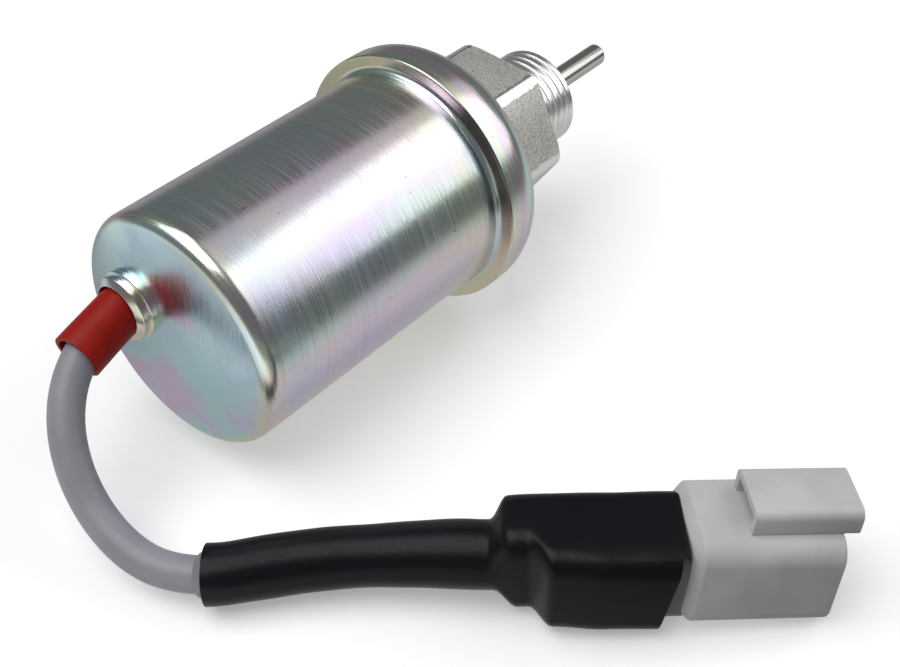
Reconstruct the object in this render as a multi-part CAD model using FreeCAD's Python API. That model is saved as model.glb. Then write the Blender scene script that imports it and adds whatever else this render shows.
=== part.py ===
import FreeCAD, Part
import math
import os

os.makedirs("parts", exist_ok=True)

# Fuel shutoff solenoid lying on its side, in millimetres.
# +X runs along the solenoid's axis towards the tip of its push pin, +Z is up.
# The origin is the middle of the seat face, where the threaded stud leaves the hexagon.
V = FreeCAD.Vector
ORIGIN = V(0, 0, 0)
AXIS = V(1, 0, 0)

# Drawn can with its rolled rim
can_radius = 24.0
can_wall = 1.5
can_base_x = -94.0
can_base_round = 5.5
rim_rear_x = -29.4
rim_front_x = -16.6
rim_radius = 27.4
rim_roll = 8.5
rim_foot_round = 1.3
rim_ridge_round = 0.45
rim_lip_radius = 18.6

# Turned mounting body: flange, hexagon and threaded stud
seat_gap = 0.05
hex_flats = 32.0
hex_turned_radius = 18.0
hex_roll = 4.9
hex_edge_break = 0.5
stud_radius = 11.0
stud_length = 15.0
stud_chamfer = 1.1
seal_groove_width = 1.9
seal_groove_depth = 1.6
seal_groove_setback = 0.8
seal_edge_round = 0.4

# Plunger, push pin and what guides them
push_pin_radius = 2.5
push_pin_reach = 38.6
push_pin_seat = 9.0
pin_tip_round = 0.45
pin_fit = 0.03
press_fit = 0.02
plunger_radius = 8.2
plunger_length = 30.0
plunger_front_x = -10.4
plunger_fit = 0.08
vent_width = 1.6
vent_depth = 0.9
stroke = 10.0
stop_gap = 0.3
guide_wall = 0.45
guide_overlap = 12.0
chamber_front_x = -9.0
stop_washer_thickness = 1.1
stop_washer_bore = 3.0
bush_radius = 5.0
bush_front_x = 9.0
bush_lead_in = 0.4
wiper_thickness = 2.6
wiper_fit = 0.05
wiper_rim = 1.2
wiper_web = 1.6
wiper_valley = 1.5
wiper_lip_setback = 0.3
wiper_lip_rear = 1.0

# Return spring
spring_radius = 2.5
spring_wire = 0.8
spring_turns = 9
spring_pocket_radius = 3.2
spring_pocket_in_plunger = 12.0
spring_pocket_in_pole = 10.0
spring_end_gap = 0.1

# Coil and rear flux path
rear_plate_x = -80.0
rear_plate_thickness = 4.0
plate_gap = 0.15
pole_rivet_radius = 5.5
rivet_head_height = 1.0
rivet_head_rim = 1.2
washer_height = 1.0
washer_thickness = 0.5
washer_radius = 20.6
washer_bore_radius = 15.6
bobbin_wall = 1.1
bobbin_flange = 1.3
bobbin_flange_radius = 21.6
bobbin_edge_round = 0.3
bobbin_end_gap = 0.3
coil_radius = 20.2
coil_edge_round = 0.7
tape_thickness = 0.4
tape_setback = 1.0
layer_gap = 0.05
lead_hole_radius = 2.1

# Cable and its way out of the base
cable_radius = 3.3
cable_exit_y = 9.8
cable_exit_z = 3.3
cable_reach_inside = 4.0
sleeve_radius = 4.75
sleeve_bore = 3.5
sleeve_reach_inside = 1.8
eyelet_radius = 6.9
eyelet_lip_radius = 6.5
eyelet_waist_radius = 6.0
eyelet_wall = 0.7
eyelet_height = 3.7
eyelet_cone = 0.9
eyelet_bell = 0.3
eyelet_groove_outer = 2.0
eyelet_groove_inner = 1.2
eyelet_curl_radius = 7.0
eyelet_curl_depth = 0.8
retainer_radius = 5.6
retainer_thickness = 1.5
lead_radius = 0.9
lead_pitch = 2.6
lead_straight = 1.6
lead_bend = 3.8
lead_spread = 4.6
lead_shift = 1.6
splice_radius = 1.6
splice_length = 3.0
splice_setback = 1.0

# Receptacle, with its own axes: u towards the mouth, v across, w up from the surface
floor_z = -rim_radius
plug_x = -63.3
plug_y = -91.3
plug_heading = -49.2
shell_length = 23.6
shell_width = 15.0
shell_height = 19.0
shell_round = 4.2
shell_wall = 1.3
shell_cavity = 18.4
mouth_round = 0.5
rear_chamfer = 1.1
tail_length = 19.0
tail_width = 12.0
tail_height = 16.4
tail_middle = 9.25
tail_round = 3.2
tail_wall = 1.1
latch_start = 8.5
latch_length = 17.2
latch_width = 10.0
latch_top = 24.5
latch_wall = 1.2
latch_round = 1.1
latch_sink = 1.0
contact_radius = 0.79
contact_pitch = 5.8
contact_reach = 12.0
contact_tip_round = 0.47
contact_barrel = 0.55
contact_barrel_gap = 1.0
wedge_width = 11.4
wedge_height = 9.0
wedge_thickness = 3.6
wedge_nose = 2.2
wedge_corner = 1.2
wedge_nose_width = 2.4
wedge_nose_inset = 1.0
wedge_nose_corner = 0.6
wedge_hole_fit = 0.35
cavity_round = 2.9
seal_length = 6.0
seal_gap = 0.05
seal_end_gap = 0.2
seal_ribs = 3
seal_rib_pitch = 1.7
seal_rib_width = 0.8
seal_rib_height = 0.4
wire_fit = 0.1
conductor_straight = 4.0
# Where the conductors part beyond the cable's end: u, and their share of the contacts' pitch
conductor_fan = [(-34.0, 0.55), (-27.0, 0.85), (-21.0, 1.0)]

# Heat-shrink over the cable's end and the receptacle's tail
shrink_radius = 5.4
shrink_wall = 0.85
shrink_lean = 0.6
shrink_box_width = 15.0
shrink_box_height = 18.3
shrink_end_gap = 0.7
shrink_corner_gap = 0.05
shrink_dip = 0.6
shoulder_start = 33.0
shoulder_end = 25.0
bead_radius = 4.35
# How far along the shoulder the section has grown from round to box
shrink_swell = [(0.25, 0.2), (0.5, 0.62), (0.75, 0.9), (1.0, 1.0)]

# The cable's route, from inside the base to the surface and the heat-shrink's mouth
cable_start_x = can_base_x + cable_reach_inside
sleeve_start_x = can_base_x + sleeve_reach_inside
cable_free_route = [
    V(cable_start_x, cable_exit_y, cable_exit_z),
    V(-97.6, 9.8, 3.3),
    V(-104.8, 9.0, 2.0),
    V(-111.2, 7.4, -1.4),
    V(-116.2, 4.2, -6.2),
    V(-119.4, -0.2, -11.8),
    V(-121.0, -5.6, -17.2),
    V(-121.6, -12.0, -20.8),
    V(-121.2, -18.8, -22.5),
    V(-119.4, -25.2, -22.4),
    V(-115.7, -31.0, -21.9),
]
# The cable's route on inside the heat-shrink
cable_end_route = [
    V(-110.4, -35.2, -21.8),
    V(-104.6, -40.2, -21.5),
    V(-99.2, -45.6, -21.1),
]
cable_route = cable_free_route + cable_end_route
# Middle of the round part of the heat-shrink beyond the cable's end
shrink_middle = [
    V(-93.6, -52.4, -20.5),
    V(-88.0, -60.0, -19.6),
]


def save(name, shape):
    """Checks that a node is one valid solid and writes it to its own file."""
    if len(shape.Solids) != 1 or not shape.isValid() or shape.Volume <= 0:
        raise ValueError(name + " is not one valid solid")
    shape.Solids[0].exportStep(os.path.join("parts", name + ".step"))


def rounded_corner(before, corner, after, radius):
    """The tangent arc at one corner: its start, middle and end."""
    back = (before - corner).normalize()
    ahead = (after - corner).normalize()
    half_turn = (math.pi - back.getAngle(ahead)) / 2
    reach = radius * math.tan(half_turn)
    middle = (back + ahead).normalize() * (radius / math.cos(half_turn) - radius)
    return corner + back * reach, corner + middle, corner + ahead * reach


def rounded_face(corners):
    """A flat face from corners given as (point, radius), where radius 0 leaves the corner sharp."""
    edges = []
    count = len(corners)
    stops = []
    for i, (point, radius) in enumerate(corners):
        if radius > 0:
            before = corners[i - 1][0]
            after = corners[(i + 1) % count][0]
            stops.append(rounded_corner(before, point, after, radius))
        else:
            stops.append((point, None, point))
    for i, (start, middle, end) in enumerate(stops):
        if middle is not None:
            edges.append(Part.Arc(start, middle, end).toShape())
        next_start = stops[(i + 1) % count][0]
        if end.distanceToPoint(next_start) > 1e-6:
            edges.append(Part.LineSegment(end, next_start).toShape())
    return Part.Face(Part.Wire(edges))


def turned(outline):
    """A solid turned about the X axis, from (x, radius, rounding) corners."""
    corners = [(V(x, 0, r), rounding) for x, r, rounding in outline]
    return rounded_face(corners).revolve(ORIGIN, AXIS, 360)


def ring(x0, x1, outer, inner):
    """A plain ring about the X axis."""
    return turned([(x0, outer, 0), (x1, outer, 0), (x1, inner, 0), (x0, inner, 0)])


def rod(x0, x1, radius, y=0.0, z=0.0):
    """A plain cylinder along X."""
    return Part.makeCylinder(radius, x1 - x0, V(x0, y, z), AXIS)


def arc_radius(before, corner, after):
    """The largest arc that the two runs at a corner of a route allow."""
    back = before - corner
    ahead = after - corner
    half_turn = (math.pi - back.getAngle(ahead)) / 2
    return 0.45 * min(back.Length, ahead.Length) / math.tan(half_turn)


def route_edges(points):
    """Straight runs joined by tangent arcs."""
    edges = []
    here = points[0]
    for before, corner, after in zip(points, points[1:], points[2:]):
        radius = arc_radius(before, corner, after)
        start, middle, end = rounded_corner(before, corner, after, radius)
        edges.append(Part.LineSegment(here, start).toShape())
        edges.append(Part.Arc(start, middle, end).toShape())
        here = end
    edges.append(Part.LineSegment(here, points[-1]).toShape())
    return edges


def swept(edges, radius):
    """A round bar swept along joined edges."""
    path = Part.Wire(edges)
    start = edges[0].valueAt(edges[0].FirstParameter)
    direction = edges[0].tangentAt(edges[0].FirstParameter)
    section = Part.Wire([Part.Circle(start, direction, radius).toShape()])
    return path.makePipeShell([section], True, True)


# The turned and drawn body


def housing_can():
    """Deep-drawn can whose mouth is opened out and rolled over the flange."""
    seat_x = rim_rear_x + can_wall
    inner = can_radius - can_wall
    rim_inner = rim_radius - can_wall
    base_inner_x = can_base_x + can_wall
    lip_inner_x = rim_front_x - can_wall
    can = turned([
        (can_base_x, 0, 0),
        (can_base_x, can_radius, can_base_round),
        (rim_rear_x, can_radius, rim_foot_round),
        (rim_rear_x, rim_radius, rim_ridge_round),
        (rim_front_x, rim_radius, rim_roll),
        (rim_front_x, rim_lip_radius, 0),
        (lip_inner_x, rim_lip_radius, 0),
        (lip_inner_x, rim_inner, rim_roll - can_wall),
        (seat_x, rim_inner, 0),
        (seat_x, inner, 0),
        (base_inner_x, inner, can_base_round - can_wall),
        (base_inner_x, 0, 0),
    ])
    hole = rod(can_base_x - 1, base_inner_x + 1, eyelet_tube_radius() + layer_gap, cable_exit_y, cable_exit_z)
    return can.cut(hole)


def hexagon(x0, x1):
    """The hexagonal bar, its corners turned down and its front edge broken."""
    corner_radius = hex_flats / math.sqrt(3)
    corners = []
    for k in range(6):
        angle = math.radians(hex_roll + 60 * k)
        corners.append((V(x0, corner_radius * math.cos(angle), corner_radius * math.sin(angle)), 0))
    bar = rounded_face(corners).extrude(V(x1 - x0, 0, 0))
    blank = turned([
        (x0, 0, 0),
        (x0, hex_turned_radius, 0),
        (x1 - hex_edge_break, hex_turned_radius, 0),
        (x1, hex_turned_radius - 2 * hex_edge_break, 0),
        (x1, 0, 0),
    ])
    return bar.common(blank)


def mounting_body():
    """Flange inside the rim, hexagon and stud, bored for the plunger chamber and the bush."""
    flange_rear_x = rim_rear_x + can_wall
    flange_front_x = rim_front_x - can_wall - seat_gap
    flange_radius = rim_radius - can_wall - seat_gap
    flange = turned([
        (flange_rear_x, 0, 0),
        (flange_rear_x, flange_radius, 0),
        (flange_front_x, flange_radius, rim_roll - can_wall),
        (flange_front_x, 0, 0),
    ])
    stud = turned([
        (-1, 0, 0),
        (-1, stud_radius, 0),
        (stud_length - stud_chamfer, stud_radius, 0),
        (stud_length, stud_radius - stud_chamfer, 0),
        (stud_length, 0, 0),
    ])
    body = flange.fuse([hexagon(flange_front_x - 1, 0), stud])
    body = body.cut(rod(flange_rear_x - 1, chamber_front_x, guide_outer() + layer_gap))
    body = body.cut(rod(chamber_front_x - 1, stud_length + 1, bush_radius + layer_gap))
    groove_x = flange_rear_x + seal_groove_setback
    groove = ring(groove_x, groove_x + seal_groove_width, flange_radius + 1, flange_radius - seal_groove_depth)
    return body.cut(groove).removeSplitter()


def rim_seal():
    """Square-section seal ring in the flange's groove."""
    groove_x = rim_rear_x + can_wall + seal_groove_setback
    outer = rim_radius - can_wall - layer_gap
    inner = rim_radius - can_wall - seat_gap - seal_groove_depth + layer_gap
    return turned([
        (groove_x + layer_gap, outer, seal_edge_round),
        (groove_x + seal_groove_width - layer_gap, outer, seal_edge_round),
        (groove_x + seal_groove_width - layer_gap, inner, seal_edge_round),
        (groove_x + layer_gap, inner, seal_edge_round),
    ])


def guide_bore():
    return plunger_radius + plunger_fit


def guide_outer():
    return guide_bore() + guide_wall


def pole_face_x():
    return plunger_front_x - plunger_length - stroke - stop_gap


def guide_tube():
    """Thin non-magnetic tube that the plunger slides in."""
    return ring(pole_face_x() - guide_overlap, chamber_front_x - stop_washer_thickness, guide_outer(), guide_bore())


def stop_washer():
    """Soft washer that the plunger lands on at the front."""
    rear_x = chamber_front_x - stop_washer_thickness
    return ring(rear_x, chamber_front_x, guide_outer() - layer_gap, stop_washer_bore)


def bearing_bush():
    """Bronze bush in the stud, with a chamfered lead-in at each end."""
    bore = push_pin_radius + pin_fit
    return turned([
        (chamber_front_x, bush_radius, 0),
        (bush_front_x, bush_radius, 0),
        (bush_front_x, bore + bush_lead_in, 0),
        (bush_front_x - bush_lead_in, bore, 0),
        (chamber_front_x + bush_lead_in, bore, 0),
        (chamber_front_x, bore + bush_lead_in, 0),
    ])


def pin_wiper():
    """Lip ring ahead of the bush that keeps fuel and dirt out."""
    bore = push_pin_radius + wiper_fit
    front_x = bush_front_x + wiper_thickness
    return turned([
        (bush_front_x, bush_radius - layer_gap, 0),
        (front_x, bush_radius - layer_gap, seal_edge_round),
        (front_x, bush_radius - wiper_rim, 0),
        (bush_front_x + wiper_valley, bush_radius - wiper_web, 0),
        (front_x - wiper_lip_setback, bore, 0),
        (bush_front_x + wiper_lip_rear, bore, 0),
        (bush_front_x, bush_radius - wiper_web, 0),
    ])


def plunger():
    """Soft-iron plunger with a spring pocket behind, a pin seat in front and two vent grooves."""
    rear_x = plunger_front_x - plunger_length
    edge = 0.6
    body = turned([
        (rear_x, 0, 0),
        (rear_x, plunger_radius, edge),
        (plunger_front_x, plunger_radius, edge),
        (plunger_front_x, 0, 0),
    ])
    body = body.cut(rod(rear_x - 1, rear_x + spring_pocket_in_plunger, spring_pocket_radius))
    body = body.cut(rod(plunger_front_x - push_pin_seat, plunger_front_x + 1, push_pin_radius + press_fit))
    for side in (-1, 1):
        corner = V(rear_x - 1, -vent_width / 2, side * plunger_radius - vent_depth)
        body = body.cut(Part.makeBox(plunger_length + 2, vent_width, 2 * vent_depth, corner))
    return body


def push_pin():
    """Polished pin pressed into the plunger, its tip edge rounded."""
    return turned([
        (plunger_front_x - push_pin_seat, 0, 0),
        (plunger_front_x - push_pin_seat, push_pin_radius, 0.4),
        (push_pin_reach, push_pin_radius, pin_tip_round),
        (push_pin_reach, 0, 0),
    ])


def return_spring():
    """Compression spring between the pole's pocket and the plunger's, ends ground flat."""
    start_x = pole_face_x() - spring_pocket_in_pole + spring_end_gap
    end_x = plunger_front_x - plunger_length + spring_pocket_in_plunger - spring_end_gap
    pitch = (end_x - start_x) / spring_turns
    helix = Part.makeHelix(pitch, end_x - start_x, spring_radius)
    section = Part.Wire([Part.Circle(V(spring_radius, 0, 0), V(0, 1, 0), spring_wire / 2).toShape()])
    coil = Part.Wire(helix).makePipeShell([section], True, True)
    coil.rotate(ORIGIN, V(0, 1, 0), 90)
    coil.translate(V(start_x, 0, 0))
    span = rod(start_x, end_x, spring_radius + spring_wire)
    return coil.common(span)


# Coil and rear flux path


def bobbin_front_x():
    return rim_rear_x + can_wall - bobbin_end_gap


def bobbin_rear_x():
    return rear_plate_x + rear_plate_thickness + washer_height + 2 * layer_gap


def bobbin():
    """Moulded spool for the winding."""
    bore = guide_outer() + plate_gap
    hub = bore + bobbin_wall
    rear = bobbin_rear_x()
    front = bobbin_front_x()
    return turned([
        (rear, bore, 0),
        (rear, bobbin_flange_radius, bobbin_edge_round),
        (rear + bobbin_flange, bobbin_flange_radius, bobbin_edge_round),
        (rear + bobbin_flange, hub, bobbin_edge_round),
        (front - bobbin_flange, hub, bobbin_edge_round),
        (front - bobbin_flange, bobbin_flange_radius, bobbin_edge_round),
        (front, bobbin_flange_radius, bobbin_edge_round),
        (front, bore, 0),
    ])


def coil_winding():
    """The copper winding, as one wound body with rounded ends."""
    hub = guide_outer() + plate_gap + bobbin_wall
    rear = bobbin_rear_x() + bobbin_flange + layer_gap
    front = bobbin_front_x() - bobbin_flange - layer_gap
    return turned([
        (rear, hub + layer_gap, coil_edge_round),
        (rear, coil_radius, coil_edge_round),
        (front, coil_radius, coil_edge_round),
        (front, hub + layer_gap, coil_edge_round),
    ])


def coil_tape():
    """Tape wrapped round the winding."""
    rear = bobbin_rear_x() + bobbin_flange + tape_setback
    front = bobbin_front_x() - bobbin_flange - tape_setback
    inner = coil_radius + layer_gap
    return ring(rear, front, inner + tape_thickness, inner)


def lead_place(side):
    """Where a lead passes the rear plate."""
    return cable_exit_y + lead_shift, cable_exit_z + side * lead_spread


def rear_plate():
    """Rear flux plate, with the pole's rivet bore and a hole for each lead."""
    rear_x = rear_plate_x
    front_x = rear_plate_x + rear_plate_thickness
    outer = can_radius - can_wall - plate_gap
    plate = turned([
        (rear_x, pole_rivet_radius + layer_gap, 0),
        (rear_x, outer, 0.5),
        (front_x, outer, 0.5),
        (front_x, pole_rivet_radius + layer_gap, 0),
    ])
    for side in (-1, 1):
        y, z = lead_place(side)
        plate = plate.cut(rod(rear_x - 1, front_x + 1, lead_hole_radius, y, z))
    return plate


def rear_pole():
    """Fixed pole, riveted through the rear plate and bored for the spring."""
    plate_front_x = rear_plate_x + rear_plate_thickness
    pole = turned([
        (rear_plate_x - rivet_head_height, 0, 0),
        (rear_plate_x - rivet_head_height, pole_rivet_radius + rivet_head_rim, 0.6),
        (rear_plate_x, pole_rivet_radius + rivet_head_rim, 0),
        (rear_plate_x, pole_rivet_radius, 0),
        (plate_front_x, pole_rivet_radius, 0),
        (plate_front_x, guide_bore() - layer_gap, 0),
        (pole_face_x(), guide_bore() - layer_gap, 0.5),
        (pole_face_x(), 0, 0),
    ])
    return pole.cut(rod(pole_face_x() - spring_pocket_in_pole, pole_face_x() + 1, spring_pocket_radius))


def coil_washer():
    """Dished spring washer that holds the bobbin forward."""
    x0 = rear_plate_x + rear_plate_thickness + layer_gap
    x1 = x0 + washer_height - washer_thickness
    return turned([
        (x0, washer_radius, 0),
        (x0 + washer_thickness, washer_radius, 0),
        (x1 + washer_thickness, washer_bore_radius, 0),
        (x1, washer_bore_radius, 0),
    ])


# Cable exit


def eyelet_tube_radius():
    return sleeve_radius + layer_gap + eyelet_wall


def cable_eyelet():
    """Tubular eyelet through the base: two ridges outside, a rolled curl inside."""
    bore = sleeve_radius + layer_gap
    outside_x = can_base_x
    inside_x = can_base_x + can_wall
    eyelet = turned([
        (outside_x - eyelet_height, bore + eyelet_bell, 0),
        (outside_x - eyelet_height + eyelet_cone, eyelet_lip_radius, 0.35),
        (outside_x - eyelet_groove_outer, eyelet_lip_radius, 0.35),
        (outside_x - (eyelet_groove_outer + eyelet_groove_inner) / 2, eyelet_waist_radius, 0.2),
        (outside_x - eyelet_groove_inner, eyelet_radius, 0.25),
        (outside_x, eyelet_radius, 0),
        (outside_x, eyelet_tube_radius(), 0),
        (inside_x, eyelet_tube_radius(), 0),
        (inside_x, eyelet_curl_radius, 0.3),
        (inside_x + eyelet_curl_depth, eyelet_curl_radius, 0.4),
        (inside_x + eyelet_curl_depth, bore, 0),
        (outside_x, bore, 0),
    ])
    eyelet.translate(V(0, cable_exit_y, cable_exit_z))
    return eyelet


def cable_sleeve():
    """Silicone sleeve that leaves the eyelet and droops with the cable."""
    edges = route_edges(cable_route)[:4]
    first_bend = edges[1].valueAt(edges[1].FirstParameter)
    edges[0] = Part.LineSegment(V(sleeve_start_x, cable_exit_y, cable_exit_z), first_bend).toShape()
    outer = swept(edges, sleeve_radius)
    return outer.cut(swept(edges, sleeve_bore))


def cable_retainer():
    """Crimped ring that stops the cable from being pulled out through the base."""
    x0 = can_base_x + can_wall + eyelet_curl_depth
    grip = ring(x0, x0 + retainer_thickness, retainer_radius, cable_radius + layer_gap)
    grip.translate(V(0, cable_exit_y, cable_exit_z))
    return grip


def lead_route(side):
    """One lead, from the cable's end face through the rear plate to the bobbin."""
    y1, z1 = lead_place(side)
    z0 = cable_exit_z + side * lead_pitch / 2
    return [
        V(cable_start_x, cable_exit_y, z0),
        V(cable_start_x + lead_straight, cable_exit_y, z0),
        V(cable_start_x + lead_bend, y1, z1),
        V(bobbin_rear_x() - layer_gap, y1, z1),
    ]


def splice(side):
    """Crimped barrel over a lead's joint."""
    y1, z1 = lead_place(side)
    x1 = rear_plate_x - splice_setback
    barrel = ring(x1 - splice_length, x1, splice_radius, lead_radius + layer_gap)
    barrel.translate(V(0, y1, z1))
    return barrel


# Receptacle


def on_plug(shape):
    """Places a shape from the receptacle's own axes on the surface."""
    shape.rotate(ORIGIN, V(0, 0, 1), plug_heading)
    shape.translate(V(plug_x, plug_y, floor_z))
    return shape


def plug_point(u, v, w):
    """A point of the receptacle's own axes, in the part's frame."""
    angle = math.radians(plug_heading)
    x = plug_x + u * math.cos(angle) - v * math.sin(angle)
    y = plug_y + u * math.sin(angle) + v * math.cos(angle)
    return V(x, y, floor_z + w)


def section(u, width, height, middle, rounding):
    """A rounded rectangle across the receptacle's axis."""
    low = middle - height / 2
    high = middle + height / 2
    half = width / 2
    return rounded_face([
        (V(u, -half, low), rounding),
        (V(u, half, low), rounding),
        (V(u, half, high), rounding),
        (V(u, -half, high), rounding),
    ])


def block(u0, u1, width, height, middle, rounding):
    return section(u0, width, height, middle, rounding).extrude(V(u1 - u0, 0, 0))


def latch_loop():
    """The bridge over the shell that a mating latch hooks into."""
    foot_w = shell_height - latch_sink
    middle = (foot_w + latch_top) / 2
    height = latch_top - foot_w
    outer = block(latch_start, latch_start + latch_length, latch_width, height, middle, latch_round)
    inner_width = latch_width - 2 * latch_wall
    inner_height = latch_top - latch_wall - shell_height
    window = Part.makeBox(
        latch_length + 2, inner_width, inner_height,
        V(latch_start - 1, -inner_width / 2, shell_height))
    foot = Part.makeBox(latch_length, latch_width + 2, latch_sink, V(shell_length, -latch_width / 2 - 1, foot_w))
    return outer.cut(window).cut(foot)


def connector_housing():
    """Two-way receptacle: sealed shell, latch loop, collar and the tail under the heat-shrink."""
    shell = block(0, shell_length, shell_width, shell_height, shell_height / 2, shell_round)
    edge = [e for e in shell.Edges if abs(e.CenterOfMass.x - shell_length) < 0.01]
    shell = shell.makeFillet(mouth_round, edge)
    rear = [e for e in shell.Edges if abs(e.CenterOfMass.x) < 0.01]
    shell = shell.makeChamfer(rear_chamfer, rear)
    tail = block(-tail_length, 1, tail_width, tail_height, tail_middle, tail_round)
    cavity = block(
        shell_length - shell_cavity, shell_length + 1,
        shell_width - 2 * shell_wall, shell_height - 2 * shell_wall, shell_height / 2, cavity_round)
    pocket = tail_wall + seal_gap
    seal_pocket = block(
        -tail_length - 1, -tail_length + seal_length,
        tail_width - 2 * pocket, tail_height - 2 * pocket, tail_middle, tail_round - pocket)
    housing = shell.fuse([tail, latch_loop()]).cut(cavity).cut(seal_pocket)
    for side in (-1, 1):
        bore = Part.makeCylinder(
            contact_radius + contact_barrel + layer_gap, tail_length + shell_length,
            V(-tail_length, side * contact_pitch / 2, tail_middle), AXIS)
        housing = housing.cut(bore)
    return on_plug(housing.removeSplitter())


def barrel_start_u():
    return -tail_length + seal_length + contact_barrel_gap


def contact_pin(side):
    """Pin contact: crimp barrel behind, pin in the mouth."""
    floor_u = shell_length - shell_cavity
    y = side * contact_pitch / 2
    z = tail_middle
    barrel_start = barrel_start_u()
    barrel = Part.makeCylinder(contact_radius + contact_barrel, floor_u - barrel_start, V(barrel_start, y, z), AXIS)
    pin = Part.makeCylinder(contact_radius, contact_reach, V(floor_u, y, z), AXIS)
    tip = [e for e in pin.Edges if abs(e.CenterOfMass.x - floor_u - contact_reach) < 0.01]
    pin = pin.makeFillet(contact_tip_round, tip)
    return on_plug(barrel.fuse(pin))


def wedge_lock():
    """Secondary lock on the mouth's floor, with a hole for each pin and a raised nose."""
    floor_u = shell_length - shell_cavity
    middle = tail_middle
    plate = block(floor_u, floor_u + wedge_thickness, wedge_width, wedge_height, middle, wedge_corner)
    nose = block(
        floor_u, floor_u + wedge_thickness + wedge_nose,
        wedge_nose_width, wedge_height - 2 * wedge_nose_inset, middle, wedge_nose_corner)
    wedge = plate.fuse(nose)
    for side in (-1, 1):
        hole = Part.makeCylinder(
            contact_radius + wedge_hole_fit, wedge_thickness + wedge_nose + 2,
            V(floor_u - 1, side * contact_pitch / 2, middle), AXIS)
        wedge = wedge.cut(hole)
    return on_plug(wedge.removeSplitter())


def wire_seal():
    """Rubber seal in the tail's mouth, ribbed outside, with a hole for each wire."""
    middle = tail_middle
    start = -tail_length + seal_end_gap
    crest = tail_wall + seal_gap + layer_gap
    trough = crest + seal_rib_height
    body = block(
        start, start + seal_length - 2 * seal_end_gap,
        tail_width - 2 * trough, tail_height - 2 * trough, middle, tail_round - trough)
    for k in range(seal_ribs):
        rib_u = start + seal_rib_width + seal_rib_pitch * k
        rib = block(
            rib_u, rib_u + seal_rib_width, tail_width - 2 * crest, tail_height - 2 * crest, middle, tail_round - crest)
        body = body.fuse(rib)
    for side in (-1, 1):
        hole = Part.makeCylinder(
            lead_radius + wire_fit, seal_length + 2,
            V(start - 1, side * contact_pitch / 2, middle), AXIS)
        body = body.cut(hole)
    return on_plug(body.removeSplitter())


def conductor_route(side):
    """One conductor, from the cable's end under the heat-shrink to its contact."""
    end = cable_route[-1]
    before = cable_route[-2]
    along = (end - before).normalize()
    across = along.cross(V(0, 0, 1)).normalize() * (-side * lead_pitch / 2)
    middle = tail_middle
    v = side * contact_pitch / 2
    route = [end + across, end + across + along * conductor_straight]
    route += [point + across for point in shrink_middle]
    route += [plug_point(u, spread * v, middle) for u, spread in conductor_fan]
    return route + [plug_point(barrel_start_u(), v, middle)]


# Heat-shrink


def shrink_section(centre, direction, width, height, rounding):
    """A rounded rectangle across the heat-shrink at one place."""
    across = V(0, 0, 1).cross(direction).normalize() * (width / 2)
    up = direction.cross(across).normalize() * (height / 2)
    corners = [centre - across - up, centre + across - up, centre + across + up, centre - across + up]
    return rounded_face([(corner, rounding) for corner in corners]).OuterWire


def shrink_stations(heading):
    """Centre and direction of each round section of the heat-shrink, from its mouth to the shoulder."""
    bend = route_edges(cable_route)[2 * len(cable_free_route) - 3]
    first, last = bend.ParameterRange
    stations = []
    for share in (0.0, 0.5, 1.0):
        place = first + share * (last - first)
        stations.append((bend.valueAt(place), bend.tangentAt(place)))
    shoulder = plug_point(-shoulder_start, -shrink_lean, tail_middle - shrink_dip)
    centres = cable_free_route[-1:] + cable_end_route + shrink_middle + [shoulder]
    for before, centre, after in zip(centres, centres[1:], centres[2:]):
        stations.append((centre, (after - before).normalize()))
    stations.append((shoulder, heading))
    return stations


def shrink_sections(inset):
    """Sections of the heat-shrink from mouth to shell, outside or, where inset is the wall, inside."""
    radius = shrink_radius - inset
    heading = plug_point(1, 0, 0) - plug_point(0, 0, 0)
    sections = []
    for centre, direction in shrink_stations(heading):
        sections.append(shrink_section(centre, direction, 2 * radius, 2 * radius, radius - shrink_corner_gap))
    for share, size in shrink_swell:
        u = -shoulder_start + share * (shoulder_start - shoulder_end)
        width = 2 * shrink_radius + size * (shrink_box_width - 2 * shrink_radius) - 2 * inset
        height = 2 * shrink_radius + size * (shrink_box_height - 2 * shrink_radius) - 2 * inset
        rounding = shrink_radius + size * (tail_round + shrink_wall - shrink_radius) - inset
        centre = plug_point(u, -shrink_lean, tail_middle)
        sections.append(shrink_section(centre, heading, width, height, rounding - shrink_corner_gap))
    end = plug_point(-shrink_end_gap, -shrink_lean, tail_middle)
    width = shrink_box_width - 2 * inset
    height = shrink_box_height - 2 * inset
    sections.append(shrink_section(end, heading, width, height, tail_round + shrink_wall - inset))
    return sections


def heat_shrink():
    """Thin sleeve shrunk over the cable's end, the wires and the receptacle's tail."""
    outside = Part.makeLoft(shrink_sections(0), True, True)
    inside = Part.makeLoft(shrink_sections(shrink_wall), True, True)
    return outside.cut(inside)


def shrink_bead():
    """Adhesive squeezed out round the cable at the heat-shrink's mouth."""
    first = 2 * len(cable_free_route) - 4
    edges = route_edges(cable_route)[first:first + 3]
    return swept(edges, bead_radius).cut(swept(edges, cable_radius + layer_gap))


def print_radii():
    """Prints the bend radius at each corner of the cable's route."""
    corners = zip(cable_route, cable_route[1:], cable_route[2:])
    for k, (before, corner, after) in enumerate(corners, start=1):
        print("cable corner", k, "radius", round(arc_radius(before, corner, after), 1), "mm")


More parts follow.
